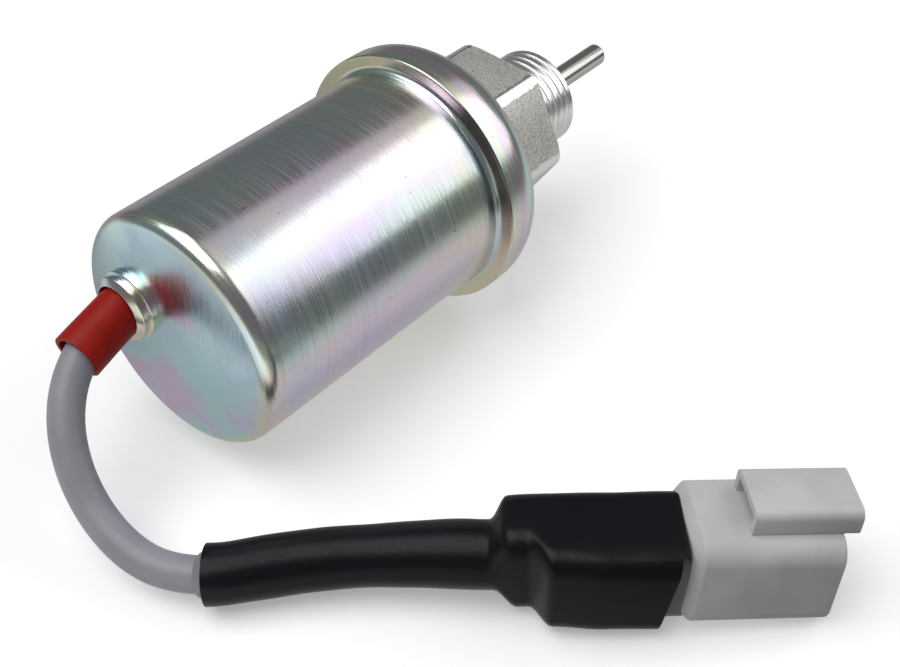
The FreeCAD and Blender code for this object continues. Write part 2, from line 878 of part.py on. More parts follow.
def build():
    print_radii()
    save("housing_can", housing_can())
    save("mounting_body", mounting_body())
    save("rim_seal", rim_seal())
    save("guide_tube", guide_tube())
    save("stop_washer", stop_washer())
    save("bearing_bush", bearing_bush())
    save("pin_wiper", pin_wiper())
    save("plunger", plunger())
    save("push_pin", push_pin())
    save("return_spring", return_spring())
    save("bobbin", bobbin())
    save("coil_winding", coil_winding())
    save("coil_tape", coil_tape())
    save("rear_plate", rear_plate())
    save("rear_pole", rear_pole())
    save("coil_washer", coil_washer())
    save("cable_eyelet", cable_eyelet())
    save("cable_sleeve", cable_sleeve())
    save("cable_retainer", cable_retainer())
    save("connector_housing", connector_housing())
    save("wedge_lock", wedge_lock())
    save("wire_seal", wire_seal())
    save("heat_shrink", heat_shrink())
    save("shrink_bead", shrink_bead())
    save("cable_jacket", swept(route_edges(cable_route), cable_radius))
    for side, tag in ((-1, "a"), (1, "b")):
        save("lead_" + tag, swept(route_edges(lead_route(side)), lead_radius))
        save("splice_" + tag, splice(side))
        save("contact_" + tag, contact_pin(side))
        save("conductor_" + tag, swept(route_edges(conductor_route(side)), lead_radius))


build()
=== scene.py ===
import math

import bpy
from bpy.props import FloatProperty, FloatVectorProperty, IntProperty, PointerProperty
from mathutils import Euler, Matrix, Vector


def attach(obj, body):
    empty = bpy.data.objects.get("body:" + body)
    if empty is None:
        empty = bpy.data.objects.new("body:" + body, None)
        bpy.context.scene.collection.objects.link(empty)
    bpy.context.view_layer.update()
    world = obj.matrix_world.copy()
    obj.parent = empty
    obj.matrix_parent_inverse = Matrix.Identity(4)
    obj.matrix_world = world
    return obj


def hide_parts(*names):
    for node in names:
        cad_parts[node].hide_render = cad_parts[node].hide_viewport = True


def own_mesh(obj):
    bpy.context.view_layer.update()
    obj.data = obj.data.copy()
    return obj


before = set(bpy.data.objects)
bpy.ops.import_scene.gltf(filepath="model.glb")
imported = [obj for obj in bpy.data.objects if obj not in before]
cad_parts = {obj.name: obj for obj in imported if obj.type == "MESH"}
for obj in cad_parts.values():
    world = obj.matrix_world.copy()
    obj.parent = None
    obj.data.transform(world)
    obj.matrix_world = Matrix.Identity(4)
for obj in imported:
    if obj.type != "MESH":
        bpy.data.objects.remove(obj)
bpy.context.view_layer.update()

bl_info = {
    "name": "Fuel shutoff solenoid",
    "version": (1, 0, 0),
    "blender": (4, 5, 0),
    "location": "3D View > Sidebar > Solenoid",
    "description": "Plated can, threaded hexagon nose, push pin and a short cable to a sealed receptacle",
    "category": "Add Mesh",
}

MM = 0.001

# The cable's route in metres, from inside the base to the surface and into the heat-shrink
CABLE_ROUTE = [
    (-0.0900, 0.0098, 0.0033),
    (-0.0976, 0.0098, 0.0033),
    (-0.1048, 0.0090, 0.0020),
    (-0.1112, 0.0074, -0.0014),
    (-0.1162, 0.0042, -0.0062),
    (-0.1194, -0.0002, -0.0118),
    (-0.1210, -0.0056, -0.0172),
    (-0.1216, -0.0120, -0.0208),
    (-0.1212, -0.0188, -0.0225),
    (-0.1194, -0.0252, -0.0224),
    (-0.1157, -0.0310, -0.0219),
    (-0.1104, -0.0352, -0.0218),
    (-0.1046, -0.0402, -0.0215),
    (-0.0992, -0.0456, -0.0211),
]
# The middle of the heat-shrink from the cable's end to the receptacle's tail
SHRINK_MIDDLE = [
    (-0.0936, -0.0524, -0.0205),
    (-0.0880, -0.0600, -0.0196),
]

# Where each step of the heat-shrink starts and ends, in metres from its line's far end,
# and from where on its rings stand closer together
TOP_STEP = (-0.0332, -0.0298)
BOTTOM_STEP = (-0.0328, -0.0294)
NEAR_STEP = (-0.0272, -0.0234)
NEAR_SPREAD = (-0.0240, -0.0140)
SWELL = (-0.0540, -0.0360)
FINE_FROM = -0.039
# Distance past the heat-shrink's mouth and the adhesive's radius there, in millimetres
BEAD_OUTLINE = [(-1.6, 3.35), (-1.2, 3.7), (-0.6, 4.1), (0.1, 4.35), (0.8, 4.4), (2.0, 4.4)]
# Pieces inside the heat-shrink and the receptacle
CABLE_NODES = ["conductor_a", "conductor_b", "contact_a", "contact_b", "wedge_lock", "wire_seal"]
# Grey of the reflected card at places along Y in metres, from near to far
CARD_TONES = [
    (-0.14, 0.15), (-0.10, 0.42), (-0.07, 0.62), (-0.045, 0.60), (-0.03, 0.46), (0.02, 0.44),
    (0.055, 0.28), (0.085, 0.34), (0.265, 0.36), (0.70, 0.26),
]
# The camera's place, the frame's axes as it sees them and its lens in millimetres
CAMERA_PLACE = (-0.21040, -0.16066, 0.16477)
CAMERA_AXES = ((0.636, 0.5007, -0.5872), (-0.7717, 0.4126, -0.4839), (0.0, 0.7609, 0.6489))
CAMERA_LENS = 56.39


def in_mm(name, description, value):
    """A length whose default is given in millimetres."""
    return FloatProperty(name=name, description=description, default=value * MM, unit="LENGTH")


def swatch(name, description, value):
    """A colour."""
    return FloatVectorProperty(
        name=name, description=description, default=value, subtype="COLOR", min=0, max=1)


class SolenoidSizes(bpy.types.PropertyGroup):
    """Sizes of the solenoid, its cable and its receptacle."""
    can_radius: in_mm("Can radius", "Outer radius of the drawn can", 24.0)
    can_wall: in_mm("Can wall", "Thickness of the can's sheet", 1.5)
    can_base_x: in_mm("Base", "Place of the can's base along the axis, where the eyelet seats", -94.0)
    can_base_round: in_mm("Base rounding", "Radius of the can's base corner", 2.8)
    can_base_crown: in_mm("Base crown", "How far the base's middle stands out past its seat", 0.6)
    can_base_fall: in_mm("Base fall", "How far the base's edge falls back from its seat", 0.9)
    rim_rear_x: in_mm("Rim rear", "Where the can opens out into its rim", -29.4)
    rim_front_x: in_mm("Rim front", "Front of the rolled rim", -16.6)
    rim_radius: in_mm("Rim radius", "Outer radius of the rolled rim", 27.4)
    rim_roll: in_mm("Rim roll", "Radius of the rim's roll", 8.5)
    rim_foot_round: in_mm("Rim foot rounding", "Radius where the can meets its rim", 1.3)
    rim_ridge_round: in_mm("Rim ridge rounding", "Radius of the rim's sharp ridge", 0.45)
    rim_lip_radius: in_mm("Rim lip", "Radius where the rim ends round the hexagon", 18.6)
    hex_flats: in_mm("Across flats", "Width of the hexagon across its flats", 32.0)
    hex_turned_radius: in_mm("Turned corners", "Radius that the hexagon's corners are turned to", 18.0)
    hex_edge_break: in_mm("Edge break", "Size of the break round the hexagon's front", 0.5)
    seat_gap: in_mm("Seat gap", "Gap between the rim and the flange inside it", 0.05)
    chamber_radius: in_mm("Chamber radius", "Radius of the chamber behind the hexagon's bore", 8.78)
    chamber_front_x: in_mm("Chamber front", "Front end of the plunger's chamber", -9.0)
    hex_roll: FloatProperty(
        name="Hexagon roll", description="Turn of the hexagon about the axis",
        default=math.radians(4.9), unit="ROTATION")
    stud_radius: in_mm("Stud radius", "Radius over the thread's crests", 11.0)
    stud_length: in_mm("Stud length", "Length of the threaded stud", 15.0)
    stud_chamfer: in_mm("Stud chamfer", "Chamfer at the stud's end", 1.1)
    thread_pitch: in_mm("Thread pitch", "Distance between the thread's crests", 2.0)
    thread_depth: in_mm("Thread depth", "Height of the thread's crests over its roots", 0.65)
    stud_bore: in_mm("Stud bore", "Radius of the bore for the bush", 5.05)
    pin_radius: in_mm("Pin radius", "Radius of the push pin", 2.5)
    pin_rear_x: in_mm("Pin rear", "Rear end of the push pin", -19.4)
    pin_reach: in_mm("Pin reach", "Tip of the push pin along the axis", 38.6)
    stroke: in_mm("Stroke", "How far the plunger and its pin go back", 10.0)
    spring_rear_x: in_mm("Spring rear", "Rear end of the return spring", -60.6)
    spring_length: in_mm("Spring length", "Length of the return spring at rest", 32.1)
    spring_radius: in_mm("Spring radius", "Mean radius of the return spring", 2.5)
    spring_wire: in_mm("Spring wire", "Thickness of the spring's wire", 0.8)
    cable_radius: in_mm("Cable radius", "Outer radius of the cable's sheath", 3.3)
    sleeve_radius: in_mm("Sleeve radius", "Outer radius of the silicone sleeve", 4.75)
    sleeve_end_radius: in_mm("Sleeve end radius", "Outer radius of the sleeve at its free end", 4.85)
    sleeve_wall: in_mm("Sleeve wall", "Thickness of the silicone sleeve", 0.85)
    sleeve_length: in_mm("Sleeve length", "Length of the silicone sleeve along the cable", 18.5)
    shrink_radius: in_mm("Heat-shrink radius", "Radius of the heat-shrink where it is round", 5.4)
    shrink_wall: in_mm("Heat-shrink wall", "Thickness of the shrunk sleeve", 0.85)
    shrink_far: in_mm("Heat-shrink far side", "Its reach to the far side over the receptacle's tail", 7.2)
    shrink_near: in_mm(
        "Heat-shrink near side", "Its reach to the near side over the receptacle's tail", 11.5)
    shrink_height: in_mm("Heat-shrink height", "Height of the heat-shrink over the receptacle's tail", 18.3)
    shrink_corner: in_mm("Heat-shrink corners", "Radius of the corners over the receptacle's tail", 4.05)
    shrink_offset: in_mm("Heat-shrink offset", "How far its line lies beside the tail's middle", 0.5)
    shrink_end: in_mm("Heat-shrink end", "Place of its wide end along the receptacle", -0.9)
    shrink_dip: in_mm("Heat-shrink dip", "How far its round part lies below the tail's middle", 0.6)
    shoulder_start: in_mm("Shoulder start", "Distance of the shoulder's start from the shell", 33.0)
    shoulder_end: in_mm("Shoulder end", "Distance of the shoulder's end from the shell", 25.0)
    shrink_mouth: FloatVectorProperty(
        name="Heat-shrink mouth", description="Middle of the heat-shrink's open end",
        default=(-116.5 * MM, -29.7 * MM, -22.0 * MM), subtype="TRANSLATION")
    plug_place: FloatVectorProperty(
        name="Tail place", description="Where the tail's line meets the shell, on the surface",
        default=(-63.3 * MM, -91.3 * MM, -27.4 * MM), subtype="TRANSLATION")
    plug_heading: FloatProperty(
        name="Tail heading", description="Turn of the tail on the surface",
        default=math.radians(-49.2), unit="ROTATION")
    shell_place: FloatVectorProperty(
        name="Shell place", description="Middle of the shell's rear end, at its bottom",
        default=(-65.85 * MM, -89.97 * MM, -26.25 * MM), subtype="TRANSLATION")
    shell_turn: FloatVectorProperty(
        name="Shell turn", description="Roll, pitch and heading of the shell as it lies on its mouth's edge",
        default=(math.radians(-1.9), math.radians(4.2), math.radians(-45.3)), subtype="EULER")
    shell_length: in_mm("Shell length", "Length of the receptacle's shell", 25.4)
    shell_width: in_mm("Shell width", "Width of the receptacle's shell", 19.35)
    shell_height: in_mm("Shell height", "Height of the receptacle's shell", 18.7)
    shell_round: in_mm("Shell rounding", "Radius of the shell's long edges", 4.2)
    shell_wall: in_mm("Shell wall", "Thickness of the shell's wall", 1.3)
    shell_cavity: in_mm("Shell cavity", "Depth of the receptacle's mouth", 18.4)
    rear_chamfer: in_mm("Rear chamfer", "Break of the shell's rear edge", 1.7)
    tail_length: in_mm("Tail length", "Length of the tail under the heat-shrink", 19.0)
    tail_gap: in_mm("Tail gap", "How far the tail stops short of its place", 1.4)
    tail_width: in_mm("Tail width", "Width of the tail", 15.2)
    tail_offset: in_mm("Tail offset", "How far the tail sits to the near side", 1.2)
    tail_height: in_mm("Tail height", "Height of the tail", 16.4)
    tail_round: in_mm("Tail rounding", "Radius of the tail's long edges", 3.2)
    latch_start: in_mm("Loop start", "Distance of the latch loop from the shell's rear", 9.7)
    latch_length: in_mm("Loop length", "Length of the latch loop", 18.2)
    latch_width: in_mm("Loop width", "Width of the latch loop", 11.8)
    latch_top: in_mm("Loop top", "Height of the latch loop over the shell's bottom", 23.3)
    latch_wall: in_mm("Loop wall", "Thickness of the latch loop", 1.5)
    latch_round: in_mm("Loop rounding", "Radius of the latch loop's long edges", 1.7)
    tail_middle: in_mm("Tail middle", "Height of the tail's middle over the surface", 9.25)
    floor_drop: in_mm("Floor drop", "How far the floor lies under the tail's place", 0.8)
    turning_steps: IntProperty(
        name="Turning steps", description="Steps round a turned piece",
        default=192, min=24, max=512)


class SolenoidColours(bpy.types.PropertyGroup):
    """Colours of the solenoid's finishes."""
    zinc: swatch("Zinc", "Plating under its passivate film", (0.72, 0.73, 0.73))
    blasted: swatch("Blasted steel", "Pebbled flats of the hexagon", (0.93, 0.90, 0.83))
    turned: swatch("Turned steel", "Bright turned steel of the stud and corners", (0.98, 0.98, 0.97))
    ground: swatch("Ground steel", "Polished push pin", (0.68, 0.66, 0.63))
    silicone: swatch("Silicone", "Sleeve at the cable's exit", (0.34, 0.011, 0.005))
    sheath: swatch("Sheath", "The cable's sheath", (0.30, 0.30, 0.335))
    shrink: swatch("Heat-shrink", "Black heat-shrink", (0.0048, 0.0048, 0.0075))
    receptacle: swatch("Receptacle", "Moulded receptacle", (0.56, 0.565, 0.56))
    floor: swatch("Floor", "Surface that the solenoid lies on", (0.86, 0.86, 0.86))


def sizes():
    return bpy.context.scene.solenoid_sizes


def colours():
    return bpy.context.scene.solenoid_colours


# Modelling helpers


def deselect():
    """Leaves edit mode with nothing selected."""
    if bpy.context.object and bpy.context.object.mode != "OBJECT":
        bpy.ops.object.mode_set(mode="OBJECT")
    bpy.ops.object.select_all(action="DESELECT")


def take_up(piece):
    """Selects one piece alone and makes it the active one."""
    deselect()
    piece.select_set(True)
    bpy.context.view_layer.objects.active = piece


def edit(piece):
    """Opens a piece for editing with all of it selected."""
    take_up(piece)
    bpy.ops.object.mode_set(mode="EDIT")
    bpy.ops.mesh.select_all(action="SELECT")


def set_in_place(piece):
    """Moves a piece's place and turn into its mesh."""
    take_up(piece)
    bpy.ops.object.transform_apply(location=True, rotation=True, scale=True)


def face_outward(piece):
    """Turns all faces of the piece in edit mode outward and sets it in place."""
    bpy.ops.mesh.select_all(action="SELECT")
    bpy.ops.mesh.normals_make_consistent(inside=False)
    set_in_place(piece)


def apply_modifier(piece, kind, name, **settings):
    """Adds a modifier, applies it and leaves the piece taken up."""
    take_up(piece)
    modifier = piece.modifiers.new(name, kind)
    for key, value in settings.items():
        setattr(modifier, key, value)
    bpy.ops.object.modifier_apply(modifier=modifier.name)
    return piece


def cut_with(piece, tool, operation="DIFFERENCE"):
    """Boolean of two pieces, after which the tool is gone."""
    apply_modifier(piece, "BOOLEAN", operation.title(), object=tool, operation=operation, solver="EXACT")
    bpy.data.objects.remove(tool)
    return piece


def soften(piece, width, segments, angle):
    """Rounds the edges that are sharper than an angle in degrees."""
    apply_modifier(
        piece, "BEVEL", "Soft edges", width=width, segments=segments, limit_method="ANGLE",
        angle_limit=math.radians(angle))


def wind(piece, pitch, turns, steps):
    """Winds a piece's edges about the axis and leaves it in edit mode with its turns merged."""
    apply_modifier(
        piece, "SCREW", "Turns", axis="X", angle=2 * math.pi, screw_offset=pitch, iterations=turns,
        steps=steps, render_steps=steps)
    edit(piece)
    bpy.ops.mesh.remove_doubles(threshold=0.004 * MM)


def coat(piece, finish):
    """Gives a piece one material alone."""
    piece.data.materials.clear()
    piece.data.materials.append(finish)


def joined(piece, *others):
    """Joins other pieces into one."""
    take_up(piece)
    for other in others:
        other.select_set(True)
    bpy.ops.object.join()
    return piece


def smooth(piece, angle=30.0):
    """Smooth shading with crisp edges past an angle in degrees."""
    take_up(piece)
    bpy.ops.object.shade_smooth_by_angle(angle=math.radians(angle))


def rounded(outline, segments=8):
    """Points of an outline of (x, radius, rounding) corners, each rounded by its own arc."""
    points = []
    for i, (x, radius, rounding) in enumerate(outline):
        corner = Vector((x, radius))
        if rounding == 0:
            points.append(corner)
            continue
        back = (Vector(outline[i - 1][:2]) - corner).normalized()
        ahead = (Vector(outline[(i + 1) % len(outline)][:2]) - corner).normalized()
        half_turn = (math.pi - back.angle(ahead)) / 2
        middle = corner + (back + ahead).normalized() * (rounding / math.cos(half_turn))
        spoke = corner + back * rounding * math.tan(half_turn) - middle
        side = 1 if back.x * ahead.y - back.y * ahead.x < 0 else -1
        for k in range(segments + 1):
            angle = side * 2 * half_turn * k / segments
            points.append(middle + Matrix.Rotation(angle, 2) @ spoke)
    return points


def near(a, b):
    """True where two places agree to a hundredth of a millimetre."""
    return abs(a - b) < 0.01 * MM


def select_edges(piece, test):
    """Selects, in edit mode, the edges whose two ends pass a test."""
    take_up(piece)
    bpy.ops.object.mode_set(mode="EDIT")
    bpy.ops.mesh.select_mode(type="EDGE")
    bpy.ops.mesh.select_all(action="DESELECT")
    bpy.ops.object.mode_set(mode="OBJECT")
    for edge in piece.data.edges:
        a, b = (piece.data.vertices[v].co for v in edge.vertices)
        edge.select = test(a, b)
    bpy.ops.object.mode_set(mode="EDIT")


def block(name, u0, u1, width, height, middle, rounding, segments=8):
    """A bar along X whose four long edges are rounded."""
    deselect()
    bpy.ops.mesh.primitive_cube_add(
        size=1.0, location=((u0 + u1) / 2, 0, middle), scale=(u1 - u0, width, height))
    piece = bpy.context.object
    piece.name = name
    set_in_place(piece)
    if rounding > 0:
        select_edges(piece, lambda a, b: not near(a.x, b.x))
        bpy.ops.mesh.bevel(affect="EDGES", offset=rounding, segments=segments)
    deselect()
    return piece


def round_end(piece, u, rounding, segments=4):
    """Rounds the outline edge of a bar's end."""
    select_edges(piece, lambda a, b: near(a.x, u) and near(b.x, u))
    bpy.ops.mesh.bevel(affect="EDGES", offset=rounding, segments=segments)
    deselect()


def drawn_line(name, points):
    """A line of edges drawn from one vertex by extruding it."""
    deselect()
    bpy.ops.mesh.primitive_plane_add(size=MM, location=points[0])
    piece = bpy.context.object
    piece.name = name
    edit(piece)
    bpy.ops.mesh.select_mode(type="VERT")
    bpy.ops.mesh.merge(type="CENTER")
    for here, there in zip(points, points[1:]):
        bpy.ops.mesh.extrude_region_move(TRANSFORM_OT_translate={"value": there - here})
    return piece


def turned(name, outline, segments=8, y=0.0, z=0.0, closed=False):
    """A piece spun about a line along X from an outline of (x, radius, rounding) corners."""
    flat = rounded(outline, segments)
    if closed:
        flat.append(flat[0])
    points = [Vector((p.x, y, z + p.y)) for p in flat]
    piece = drawn_line(name, points)
    bpy.ops.mesh.select_all(action="SELECT")
    bpy.ops.mesh.spin(steps=sizes().turning_steps, angle=2 * math.pi, center=(0, y, z), axis=(1, 0, 0))
    bpy.ops.mesh.select_all(action="SELECT")
    bpy.ops.mesh.remove_doubles(threshold=0.002 * MM)
    face_outward(piece)
    return piece


def dressed(piece, body, slot, finish, *nodes):
    """Gives a finished piece its material and body and hides the nodes it stands for. The slot is not used.
    """
    if finish is not None:
        coat(piece, finish)
    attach(piece, body)
    if nodes:
        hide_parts(*nodes)
    return piece


# Finishes


class Finish:
    """A node material that is put together round one shader."""

    def __init__(self, name):
        self.material = bpy.data.materials.new(name)
        self.material.use_nodes = True
        self.tree = self.material.node_tree
        self.shader = self.tree.nodes["Principled BSDF"]
        self.place = self.add("ShaderNodeTexCoord").outputs["Object"]

    def add(self, kind, settings=None, **inputs):
        node = self.tree.nodes.new(kind)
        for key, value in (settings or {}).items():
            setattr(node, key, value)
        for key, value in inputs.items():
            self.feed(node.inputs[key.replace("_", " ")], value)
        return node

    def feed(self, socket, value):
        if isinstance(value, bpy.types.NodeSocket):
            self.tree.links.new(value, socket)
        else:
            socket.default_value = value

    def set(self, **inputs):
        for key, value in inputs.items():
            self.feed(self.shader.inputs[key.replace("_", " ")], value)

    def scaled(self, x, y, z):
        """The place, stretched by its own factor along each axis."""
        return self.add("ShaderNodeMapping", Vector=self.place, Scale=(x, y, z)).outputs["Vector"]

    def noise(self, vector, scale=1.0, detail=3.0, roughness=0.5, distortion=0.0):
        node = self.add(
            "ShaderNodeTexNoise", Vector=vector, Scale=scale, Detail=detail, Roughness=roughness,
            Distortion=distortion)
        return node.outputs["Fac"]

    def spread(self, value, low, high, to_low=0.0, to_high=1.0):
        """Remaps a value and clamps it, with soft ends."""
        node = self.add(
            "ShaderNodeMapRange", {"interpolation_type": "SMOOTHSTEP"}, Value=value, From_Min=low,
            From_Max=high, To_Min=to_low, To_Max=to_high)
        return node.outputs["Result"]

    def maths(self, operation, first, second=0.0):
        node = self.add("ShaderNodeMath", {"operation": operation})
        self.feed(node.inputs[0], first)
        self.feed(node.inputs[1], second)
        return node.outputs["Value"]

    def times(self, first, second):
        return self.maths("MULTIPLY", first, second)

    def plus(self, first, second):
        return self.maths("ADD", first, second)

    def swing(self, noise, width):
        """A noise as a swing of a given width about zero."""
        return self.times(self.maths("SUBTRACT", noise, 0.5), width)

    def blend(self, share, first, second):
        """Two plain values mixed by a share."""
        node = self.add("ShaderNodeMix", Factor=share)
        self.feed(node.inputs[2], first)
        self.feed(node.inputs[3], second)
        return node.outputs[0]

    def mixed(self, share, first, second, blend="MIX"):
        """Two colours mixed by a share."""
        node = self.add("ShaderNodeMix", {"data_type": "RGBA", "blend_type": blend})
        self.feed(node.inputs["Factor"], share)
        for socket, value in ((node.inputs[6], first), (node.inputs[7], second)):
            if not isinstance(value, bpy.types.NodeSocket):
                value = (*value[:3], 1.0)
            self.feed(socket, value)
        return node.outputs[2]

    def ramp(self, value, stops):
        """A colour ramp from (place, colour) stops."""
        node = self.add("ShaderNodeValToRGB", Fac=value)
        elements = node.color_ramp.elements
        while len(elements) < len(stops):
            elements.new(0.5)
        for element, (place, colour) in zip(elements, stops):
            element.position = place
            element.color = (*colour, 1.0)
        return node.outputs["Color"]

    def film(self, value, stops):
        """The zinc under its film, from (place, tint) stops."""
        zinc = colours().zinc
        return self.ramp(value, [(place, tinted(zinc, tint)) for place, tint in stops])

    def axial(self):
        """X, Y and Z of the place and its distance from the solenoid's axis."""
        x, y, z = self.add("ShaderNodeSeparateXYZ", Vector=self.place).outputs
        across = self.add("ShaderNodeCombineXYZ", X=0.0, Y=y, Z=z).outputs["Vector"]
        radius = self.add("ShaderNodeVectorMath", {"operation": "LENGTH"}, Vector=across).outputs["Value"]
        return x, y, z, radius

    def bump(self, height, distance, strength=1.0, normal=None):
        node = self.add("ShaderNodeBump", Height=height, Distance=distance, Strength=strength)
        if normal is not None:
            self.feed(node.inputs["Normal"], normal)
        return node.outputs["Normal"]


def tinted(colour, factor):
    """A colour times a grey or a colour, held within range."""
    if not isinstance(factor, tuple):
        factor = (factor, factor, factor)
    return tuple(min(1.0, c * f) for c, f in zip(colour, factor))


# Tints of the passivate film, as factors on the plain zinc, and a dark brown for painted shade
CREAM = (1.10, 1.06, 0.76)
PINK = (1.10, 0.86, 0.98)
LILAC = (0.97, 0.86, 1.14)
BLUE = (0.78, 1.00, 1.14)
MINT = (0.84, 1.08, 0.98)
TEAL = (0.76, 1.08, 1.12)
ROSE = (1.06, 0.80, 1.00)
BRIGHT_MINT = (1.06, 1.34, 1.20)
BRIGHT_BLUE = (0.94, 1.22, 1.30)
PALE = (1.0, 1.0, 1.0)
TAN = (1.15, 0.98, 0.80)
# Dark brown that paints shade into the crease of the rim's step
PAINTED_SHADE_BROWN = (0.34, 0.26, 0.22)


def passivated(f, colour, rough, bump):
    """Zinc plate under a thin colour film, with small specks."""
    zinc = colours().zinc
    speck = f.spread(f.noise(f.place, scale=700, detail=1), 0.765, 0.80)
    f.set(
        Base_Color=f.mixed(f.times(speck, 0.6), colour, tinted(zinc, (0.40, 0.34, 0.32))),
        Metallic=1.0,
        Roughness=rough,
        Normal=bump,
    )
    return f.material


def passivated_can():
    """The can's finish: brushed round its side, duller on its base, with painted shade in the rim's step."""
    s = sizes()
    f = Finish("passivated can")
    x, y, z, radius = f.axial()
    cloud = f.noise(f.scaled(30, 60, 60), detail=4, roughness=0.55, distortion=0.5)
    turn = f.maths("FRACT", f.maths("DIVIDE", f.maths("ARCTAN2", z, y), 2 * math.pi))
    edge_x = s.can_base_x + s.can_base_fall
    on_base = f.spread(x, edge_x + 0.10 * MM, edge_x + 0.9 * MM, 1.0, 0.0)
    in_step = f.times(
        f.spread(radius, s.can_radius + 0.5 * MM, s.can_radius + 0.9 * MM),
        f.spread(x, s.rim_rear_x + 0.10 * MM, s.rim_rear_x + 0.45 * MM, 1.0, 0.0))
    side = side_film(f, x, turn, cloud)
    # Round the step the film runs cream, pink and tan; its dark brown band on the near side is painted shade.
    step = f.film(turn, [
        (0.20, CREAM), (0.29, PINK), (0.35, PAINTED_SHADE_BROWN), (0.47, PAINTED_SHADE_BROWN), (0.53, TAN), (0.64, CREAM),
    ])
    colour = f.mixed(on_base, f.mixed(in_step, side, step), base_film(f, y, z, radius, cloud))

    brushed = f.noise(f.scaled(3600, 60, 60), detail=3, roughness=0.6)
    rubbed = f.noise(f.scaled(60, 2400, 200), detail=3, roughness=0.6)
    patch = f.spread(f.noise(f.scaled(50, 60, 60), detail=2), 0.40, 0.66)
    scratch = f.spread(f.noise(f.scaled(1500, 25, 25), detail=2, roughness=0.6), 0.56, 0.70)
    off_base = f.maths("SUBTRACT", 1.0, on_base)
    scratched = f.times(f.times(scratch, patch), f.times(off_base, 0.38))
    worn = f.mixed(scratched, colour, tinted(colours().zinc, (0.60, 0.57, 0.56)))
    side_rough = f.spread(brushed, 0.3, 0.72, 0.17, 0.31)
    base_rough = f.spread(rubbed, 0.3, 0.7, 0.21, 0.28)
    rough = f.blend(on_base, side_rough, base_rough)
    line = f.blend(on_base, brushed, rubbed)
    return passivated(f, worn, rough, f.bump(line, 0.012 * MM, f.blend(on_base, 0.75, 0.40)))


def side_film(f, x, turn, cloud):
    """Film on the can's side, which changes round it and along it."""
    drift = f.swing(cloud, 0.16)
    round_it = f.film(f.plus(turn, drift), [
        (0.03, PINK), (0.10, BLUE), (0.15, PINK), (0.21, MINT), (0.27, MINT), (0.31, PINK),
        (0.35, PALE), (0.39, LILAC), (0.425, MINT), (0.455, MINT), (0.49, PINK), (0.53, LILAC),
        (0.57, PINK), (0.61, TAN), (0.68, CREAM), (0.78, MINT), (0.88, BLUE), (0.97, PINK),
    ])
    along = f.film(f.plus(f.times(x, -10.0), f.times(drift, 0.35)), [
        (0.165, LILAC), (0.195, PALE), (0.225, MINT), (0.245, PINK), (0.268, PALE), (0.280, CREAM),
        (0.292, MINT), (0.31, BLUE), (0.35, CREAM), (0.50, PALE), (0.66, LILAC), (0.78, PALE),
        (0.87, BLUE), (0.915, CREAM),
    ])
    at_rim = f.spread(x, -40 * MM, -27 * MM, 0.40, 0.80)
    return f.mixed(at_rim, round_it, along)


def base_film(f, y, z, radius, cloud):
    """Film on the can's base: soft drifting patches inside a yellowish edge, which is partly film tint and
    partly a painted highlight on the corner.
    """
    patch = f.noise(f.scaled(30, 55, 55), detail=2, roughness=0.4, distortion=0.3)
    fall = f.plus(f.times(z, -9.0), f.times(y, -4.0))
    share = f.plus(f.times(patch, 1.3), f.maths("SUBTRACT", fall, 0.15))
    patches = f.film(share, [
        (0.12, BRIGHT_MINT), (0.32, BRIGHT_BLUE), (0.46, BLUE), (0.58, TEAL),
        (0.67, LILAC), (0.76, ROSE), (0.86, LILAC), (0.96, BLUE),
    ])
    edge = f.plus(radius, f.swing(cloud, 8 * MM))
    # The cream edge, stronger towards the near side, is partly film tint and partly painted highlight where
    # the corner catches the light.
    near_side = f.spread(y, 4 * MM, -12 * MM, 0.15, 0.75)
    rim = f.times(f.spread(edge, 20.0 * MM, 23.5 * MM), near_side)
    return f.mixed(rim, patches, tinted(colours().zinc, CREAM))


def passivated_eyelet():
    """The eyelet's finish, brushed round its bore."""
    f = Finish("passivated eyelet")
    colour = f.film(f.noise(f.place, scale=150, detail=3), [
        (0.30, BLUE), (0.45, PALE), (0.58, CREAM), (0.72, PINK),
    ])
    line = f.noise(f.scaled(2600, 80, 80), detail=3, roughness=0.6)
    return passivated(f, colour, f.spread(line, 0.3, 0.72, 0.17, 0.28), f.bump(line, 0.010 * MM, 0.6))


def hexagon_steel():
    """Blasted flats, with the corners turned bright and an uneven line between the two."""
    f = Finish("hexagon steel")
    blasted = colours().blasted
    bright = colours().turned
    *_, radius = f.axial()
    ragged = f.noise(f.place, scale=700, detail=4, roughness=0.65)
    edge = sizes().hex_turned_radius
    reach = f.plus(radius, f.swing(ragged, 0.8 * MM))
    turned_share = f.spread(reach, edge - 0.30 * MM, edge - 0.22 * MM)
    pebble = f.noise(f.place, scale=2700, detail=3, roughness=0.65)
    grit = f.ramp(pebble, [
        (0.32, tinted(blasted, (0.46, 0.46, 0.47))),
        (0.50, tinted(blasted, (0.88, 0.88, 0.88))),
        (0.66, tinted(blasted, (1.25, 1.25, 1.25))),
    ])
    f.set(
        Base_Color=f.mixed(turned_share, grit, bright),
        Metallic=1.0,
        Roughness=f.blend(turned_share, 0.50, 0.20),
        Normal=f.bump(pebble, 0.09 * MM, f.blend(turned_share, 0.9, 0.03)),
    )
    return f.material


def bare_metal(name, base, rough, line_scale, depth, stain=0.35):
    """Turned, ground or drawn metal with fine lines round the axis and faint stains."""
    f = Finish(name)
    line = f.noise(f.scaled(line_scale, 40, 40), detail=3)
    mark = f.noise(f.place, scale=240, detail=3)
    f.set(
        Base_Color=f.mixed(f.spread(mark, 0.48, 0.78, 0.0, stain), base, tinted(base, (0.74, 0.74, 0.76))),
        Metallic=1.0,
        Roughness=f.spread(line, 0.3, 0.7, rough - 0.05, rough + 0.06),
        Normal=f.bump(line, depth, 0.5),
    )
    return f.material


